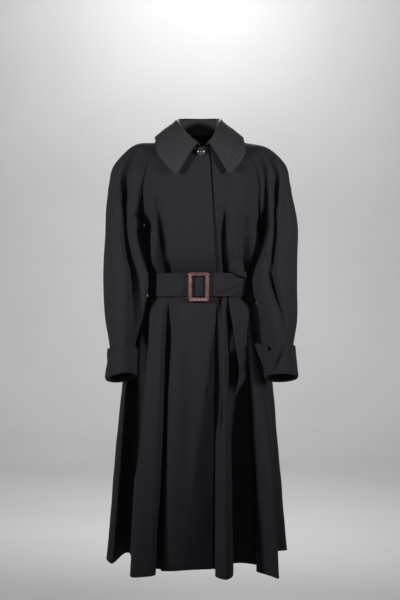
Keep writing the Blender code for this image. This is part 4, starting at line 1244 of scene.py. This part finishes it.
def dress_sleeve(sleeve, wool):
    """Front and back half of a sleeve, which meet on the ridge."""
    grid = sleeve_grid(sleeve, sleeve_points)
    heights = sleeve_grid(sleeve, sleeve_creases) + ripple_heights(grid)
    grid = creased(grid, sleeve_grid(sleeve, sleeve_directions), heights, (0, -1))
    ways = sleeve.side * -face_directions(grid)
    pieces = {}
    halves = {"front": slice(0, SLEEVE_HALF_STEPS + 1), "back": slice(SLEEVE_HALF_STEPS, None)}
    for half, part in halves.items():
        name = f"{sleeve.name}_sleeve_{half}"
        pieces[name] = add_shell(f"{name}_cloth", trimmed(grid[:, part], (0, -1)), ways[:, part], wool)
    return pieces


def cuff_lifts(turns, share, lifts):
    """How far the cuff's upper edge is lowered and stands out, round one ring."""
    lower = np.zeros(len(turns))
    out = np.zeros(len(turns))
    for lift in lifts:
        swell = bell((turns - lift.turn) / lift.spread) * share**CUFF_LIFT_POWER
        lower += lift.lower * swell
        out += lift.out * swell
    return lower, out


def cuff_table(cuff, inner_width, inner_depth):
    """Sections of a cuff from its upper edge down over the fold and up to the join with the sleeve."""
    low = cuff[-1]
    roll = (low.half_width - inner_width) / 2
    fold_rows = rows_of(CuffRow, [
        ("above_fold", CUFF_FOLD, low.half_width, low.half_depth, low.shift),
        ("fold", 0, low.half_width - CUFF_FOLD / 2, low.half_depth - CUFF_FOLD / 2, low.shift),
        ("under_fold", CUFF_FOLD / 2, inner_width + roll, inner_depth + roll, low.shift / 2),
        ("inside_fold", roll, inner_width, inner_depth, 0),
        ("join", CUFF_BELOW_SLEEVE - SEAM_GAP, inner_width, inner_depth, 0),
    ])
    return np.array([row[1:] for row in [*cuff, *fold_rows]])


def dress_cuff(sleeve, wool):
    """Cuff that goes on from the sleeve's end, turns over a fold and stands up outside the sleeve."""
    centre, outward, backward, _ = sleeve_frame(sleeve, WRIST_ROW)
    out = unit(outward)
    rear = unit(backward)
    up = unit(sleeve_frame(sleeve, WRIST_ROW - 1)[0] - centre)
    table = cuff_table(sleeve.cuff, np.linalg.norm(outward) - CLOTH, np.linalg.norm(backward) - CLOTH)
    turns = np.linspace(math.pi, 3 * math.pi, CUFF_COLUMNS, endpoint=False)
    degrees = np.degrees(turns)
    outside_rows = (len(sleeve.cuff) + 1) * CUFF_STEPS
    grid = []
    for row, (height, half_width, half_depth, shift) in enumerate(curve_through(table, CUFF_STEPS)):
        share = height / sleeve.cuff[0].height if row < outside_rows else 0
        lower, stand = cuff_lifts(degrees, share, sleeve.cuff_lifts)
        stand = stand + fold_heights(sleeve.cuff_creases, share, degrees, CREASE_FADE)
        level = centre + up * (height - CUFF_BELOW_SLEEVE - lower)[:, None] + out * shift
        ring = round_ways(turns, out * half_width, rear * half_depth)
        grid.append(level + ring + round_ways(turns, out, rear) * stand[:, None])
    grid = np.array(grid)
    ways = -sleeve.side * face_directions(grid, closed=True)
    grid = grid + ways * ripple_heights(grid)[..., None]
    return add_shell(f"{sleeve.name}_cuff_cloth", grid, ways, wool, closed=True)


def collar_profile(base, crease, edge):
    """Points across the collar: up the stand, over the crease, down the leaf."""
    outward = unit((edge - crease) * np.array([1, 1, 0]))
    drop = np.array([0, 0, COLLAR_ROLL])
    inside = crease - outward * COLLAR_ROLL - drop
    outside = crease + outward * COLLAR_ROLL - drop
    belly = outward * COLLAR_ROLL / 2
    return [base, (base + inside) / 2, inside, crease, outside, (outside + edge) / 2 + belly, edge]


def even_columns(points):
    """Points of the collar's columns at even lengths along a fine line."""
    lengths = lengths_along(points, 0)
    return values_at(np.linspace(0, lengths[-1], COLLAR_COLUMNS), lengths, points)


def rounded_points(grid):
    """Collar whose leaf is shorter at both front ends, so that its points are round."""
    fold = COLLAR_CREASE * COLLAR_STEPS
    moved = grid.copy()
    lengths = lengths_along(grid[-1], 0)
    for distance in (lengths, lengths[-1] - lengths):
        near = np.clip(1 - distance / COLLAR_ROUND, 0, 1)[None, :, None]
        leaf = moved[fold:] - moved[fold]
        moved[fold:] -= leaf * COLLAR_ROUND_SHARE * near**2
    return moved


def wave_heights(waves, along):
    """Heights of waves along a share of the way."""
    return sum(wave.height * np.sin(2 * math.pi * wave.turns * along + wave.start) for wave in waves)


def dress_collar(stuff):
    """Collar swept round the neck, with fine uneven ribs across its leaf."""
    corners = []
    for sign, places in ((-1, COLLAR_PLACES), (1, COLLAR_PLACES[-2::-1])):
        for place in places:
            spots = np.array([place.base, place.crease, place.edge]) * np.array([sign, 1, 1])
            spots[:, 0] += place.shift
            corners.append(collar_profile(*spots))
    lines = np.array(corners).transpose(1, 0, 2)
    sweep = np.array([even_columns(curve_through(line, COLLAR_FINE_STEPS)) for line in lines])
    grid = np.array([curve_through(sweep[:, column], COLLAR_STEPS) for column in range(COLLAR_COLUMNS)])
    grid = grid.transpose(1, 0, 2)
    along = np.linspace(0, 1, COLLAR_COLUMNS)
    down = np.clip(np.linspace(*COLLAR_RIB_RANGE, len(grid)), 0, 1)[:, None]
    swing = along + wave_heights(COLLAR_SPACING_WAVES, along)
    ribs = 0.5 + 0.5 * np.cos(2 * math.pi * COLLAR_RIBS * swing)
    strength = COLLAR_RIB_START + COLLAR_RIB_GROWTH * along + wave_heights(COLLAR_STRENGTH_WAVES, along)
    swell = COLLAR_RIB_HEIGHT * ribs * strength * down
    grid = rounded_points(grid - face_directions(grid) * swell[..., None])
    ways = -face_directions(grid)
    add_stitches("collar_stitches", [(grid[COLLAR_STITCH_ROW], ways[COLLAR_STITCH_ROW])], stuff)
    return add_shell("collar_cloth", grid, ways, stuff)


def soft_wave(shape, wave):
    """Heights of a soft wave that runs along a strip and slightly across it, never below nought."""
    height, along, across = wave
    down, over = np.meshgrid(np.linspace(0, 1, shape[0]), np.linspace(0, 1, shape[1]), indexing="ij")
    return height * (1 + np.sin(2 * math.pi * (along * over + across * down))) / 2


def dress_belt(wool):
    """Belt round the waist with its lines of stitches; its ends meet behind the buckle."""
    turns = np.linspace(BELT_START_TURN, BELT_END_TURN, BELT_COLUMNS)
    heights = np.linspace(BELT_TOP, BELT_BOTTOM, BELT_ROWS)
    grid = np.array([[waist_point(turn, BELT_STAND_OFF, z) for turn in turns] for z in heights])
    ways = face_directions(grid)
    swell = soft_wave(grid.shape, BELT_WAVE) + crease_heights(grid, BELT_CREASES) * (grid[..., 1] < 0)
    row_places = []
    for below in BELT_STITCH_LINES:
        swell -= (STITCH_DIP * bell((BELT_TOP - heights - below) / STITCH_DIP_WIDTH))[:, None]
        row_places.append(round(below / (BELT_TOP - BELT_BOTTOM) * (BELT_ROWS - 1)))
    grid = grid + ways * swell[..., None]
    add_stitches("belt_stitches", [(grid[row], ways[row]) for row in row_places], wool)
    return add_shell("belt_cloth", grid, ways, wool, BELT_CLOTH)


def dress_belt_tail(wool):
    """Free belt end: tucked behind the belt, then hanging in front of the skirt in soft waves."""
    rows = []
    for z in TAIL_TUCK_HEIGHTS:
        rows.append([waist_point(turn, TAIL_STAND_OFF, z) for turn in (TAIL_TURN_RIGHT, TAIL_TURN_LEFT)])
    for row in TAIL_ROWS:
        rows.append([(row.right_x, row.right_y, row.z), (row.left_x, row.left_y, row.z)])
    rows = curve_through(np.array(rows).reshape(-1, 6), TAIL_STEPS).reshape(-1, 2, 3)
    start, widest, end = TAIL_FULLER_HEIGHTS
    z = rows[:, 0, 2]
    rows[:, 0, 0] += TAIL_FULLER * ease(start, widest, z) * (1 - ease(widest, end, z))
    width = 1 - (1 - TAIL_TIP_SHARE) * ease(*TAIL_TAPER_HEIGHTS, z)
    rows[:, 0] = rows[:, 1] + (rows[:, 0] - rows[:, 1]) * width[:, None]
    shares = np.linspace(0, 1, TAIL_COLUMNS)[None, :, None]
    grid = rows[:, :1] * (1 - shares) + rows[:, 1:] * shares
    free = ease(TAIL_TUCK_HEIGHTS[-1], TAIL_ROWS[1].z, grid[..., 2])
    swell = soft_wave(grid.shape[1::-1], TAIL_WAVE).T * free
    grid = grid + face_directions(grid) * swell[..., None]
    ways = face_directions(grid)
    hanging = grid[:, 0, 2] < BELT_BOTTOM
    lines = [(grid[hanging, column], ways[hanging, column]) for column in TAIL_STITCH_COLUMNS]
    add_stitches("belt_tail_stitches", lines, wool)
    return add_shell("belt_tail_cloth", grid, ways, wool)


def squared(shares, half):
    """Sines or cosines of a section drawn out towards its corners, at half its size."""
    return np.copysign(np.abs(shares) ** BUCKLE_SQUARE, shares) * half


def dress_buckle(stuff):
    """Rectangular frame with a rounded section and a fine groove round its face."""
    front = WAIST_Y - WAIST_HALF_DEPTH - BELT_STAND_OFF
    centre = np.array([BUCKLE_X, front - BUCKLE_GAP - BUCKLE_DEPTH / 2, BUCKLE_Z])
    turns = 2 * math.pi * (np.arange(BUCKLE_SECTION_STEPS) + 0.5) / BUCKLE_SECTION_STEPS
    across = squared(np.cos(turns), BUCKLE_BAR / 2)
    depth = squared(np.sin(turns), BUCKLE_DEPTH / 2)
    groove = bell((across - BUCKLE_GROOVE_AT) / BUCKLE_GROOVE_WIDTH) * (depth > 0)
    depth = depth - groove * BUCKLE_GROOVE_DEPTH
    radius = BUCKLE_INNER_CORNER + (BUCKLE_OUTER_CORNER - BUCKLE_INNER_CORNER) * (across / BUCKLE_BAR + 0.5)
    half_width = (BUCKLE_WIDTH - BUCKLE_BAR) / 2 + across - radius
    half_height = (BUCKLE_HEIGHT - BUCKLE_BAR) / 2 + across - radius
    rings = []
    for quarter in range(4):
        middle = math.pi / 2 * (quarter + 0.5)
        for turn in math.pi / 2 * (quarter + np.linspace(0, 1, BUCKLE_CORNER_STEPS)):
            x = np.copysign(half_width, math.cos(middle)) + radius * math.cos(turn)
            z = np.copysign(half_height, math.sin(middle)) + radius * math.sin(turn)
            rings.append(centre + np.stack([x, -depth, z], axis=1))
    cells = ring_cells(0, len(rings), BUCKLE_SECTION_STEPS, closed=True)
    return plain_object("buckle_frame", np.array(rings), cells, stuff)


def dress_button(stuff):
    """Dished button with a raised rim, lying on the lapping front at the neck."""
    centre = np.array([BUTTON_X, profile_at(BUTTON_Z - BUTTON_RADIUS)[0] - BUTTON_GAP, BUTTON_Z])
    turns = np.linspace(0, 2 * math.pi, BUTTON_SIDES, endpoint=False)
    circle = round_ways(turns, np.array([1, 0, 0]), np.array([0, 0, 1]))
    rings = []
    for radius, depth in curve_through(np.array([row[1:] for row in BUTTON_RINGS]), BUTTON_STEPS):
        rings.append(centre + circle * radius * BUTTON_RADIUS - np.array([0, depth * BUTTON_DEPTH, 0]))
    return plain_object("neck_button_disc", np.array(rings), ring_cells(0, len(rings), BUTTON_SIDES), stuff)


# Room, light and camera


def add_room():
    """Pale round floor that bends up into a plain wall."""
    bends = np.linspace(0, math.pi / 2, ROOM_BEND_STEPS)
    radii = [*(ROOM_RADIUS - ROOM_BEND + ROOM_BEND * np.sin(bends)), ROOM_RADIUS]
    heights = [*(FLOOR_Z + ROOM_BEND * (1 - np.cos(bends))), ROOM_TOP]
    turns = 2 * math.pi * np.arange(ROOM_SIDES) / ROOM_SIDES
    circle = round_ways(turns, np.array([1, 0, 0]), np.array([0, 1, 0]))
    rings = [circle * radius + np.array([0, 0, z]) for radius, z in zip(radii, heights)]
    points = np.concatenate([[(0, 0, FLOOR_Z)], *rings])
    index = closed_up(np.arange(1, len(points)).reshape(-1, ROOM_SIDES))
    inner = index[0].tolist()
    floor = [(0, first, second) for first, second in zip(inner, inner[1:])]
    wall = quads_of(index).reshape(-1, 4)[:, ::-1]
    mesh = bpy.data.meshes.new("studio_floor")
    mesh.from_pydata(points.tolist(), [], [*floor, *wall.tolist()])
    mesh.shade_smooth()
    mesh.materials.append(clouded_stuff(PAPER))
    add_object("studio_floor", mesh)


def add_light(name, place, target, size, spread_degrees, power):
    """Soft square lamp that looks at a target."""
    lamp = bpy.data.lights.new(name, "AREA")
    lamp.size = size
    lamp.spread = math.radians(spread_degrees)
    lamp.energy = power
    body = add_object(name, lamp)
    body.location = place
    body.rotation_euler = (Vector(target) - Vector(place)).to_track_quat("-Z", "Y").to_euler()


def add_camera():
    """Camera at the photograph's viewing angle."""
    lens = bpy.data.cameras.new("camera")
    lens.lens = CAMERA_LENS
    body = add_object("camera", lens)
    body.location = CAMERA_PLACE
    body.rotation_euler = (math.pi / 2, 0, 0)
    bpy.context.scene.camera = body


def set_stage():
    """Camera, room, lamps and the faint light from all round."""
    add_camera()
    add_room()
    for lamp in LAMPS:
        add_light(*lamp)
    world = bpy.data.worlds.new("studio")
    world.use_nodes = True
    world.node_tree.nodes["Background"].inputs["Color"].default_value = (1, 1, 1, 1)
    world.node_tree.nodes["Background"].inputs["Strength"].default_value = WORLD_LIGHT
    bpy.context.scene.world = world
    bpy.context.scene.view_settings.view_transform = "Standard"


def dress_coat():
    """All pieces by the name of the node or nodes that they replace."""
    wool = woven_stuff(WOOL)
    collar_stuff = woven_stuff(COLLAR_CLOTH)
    sleeves = (RIGHT_SLEEVE, LEFT_SLEEVE)
    pieces = dress_trunk(wool)
    for sleeve in sleeves:
        pieces.update(dress_sleeve(sleeve, wool))
    for sleeve in sleeves:
        pieces[f"{sleeve.name}_cuff"] = dress_cuff(sleeve, wool)
    pieces["collar"] = dress_collar(collar_stuff)
    pieces["belt"] = dress_belt(wool)
    pieces["belt_tail"] = dress_belt_tail(wool)
    pieces["buckle"] = dress_buckle(clouded_stuff(TORTOISESHELL))
    pieces["neck_button"] = dress_button(clouded_stuff(BUTTON_PLASTIC))
    return pieces


def main():
    """Builds the scene and ties every piece to the frame."""
    set_stage()
    pieces = dress_coat()
    slots = {row["node"]: row["material_slot"] for row in frame["record"]["subparts"]}
    for name, piece in pieces.items():
        nodes = [node for node in slots if node in (name, f"{name}_bodice", f"{name}_skirt")]
        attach(piece, "root")
        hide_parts(*nodes)
    for name, sewn in SEWN_ON.items():
        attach(bpy.data.objects[sewn], "root")
    for sheet in SHEETS:
        sewn = [bpy.data.objects[SEWN_ON[sheet.node]]] if sheet.node in SEWN_ON else []


main()
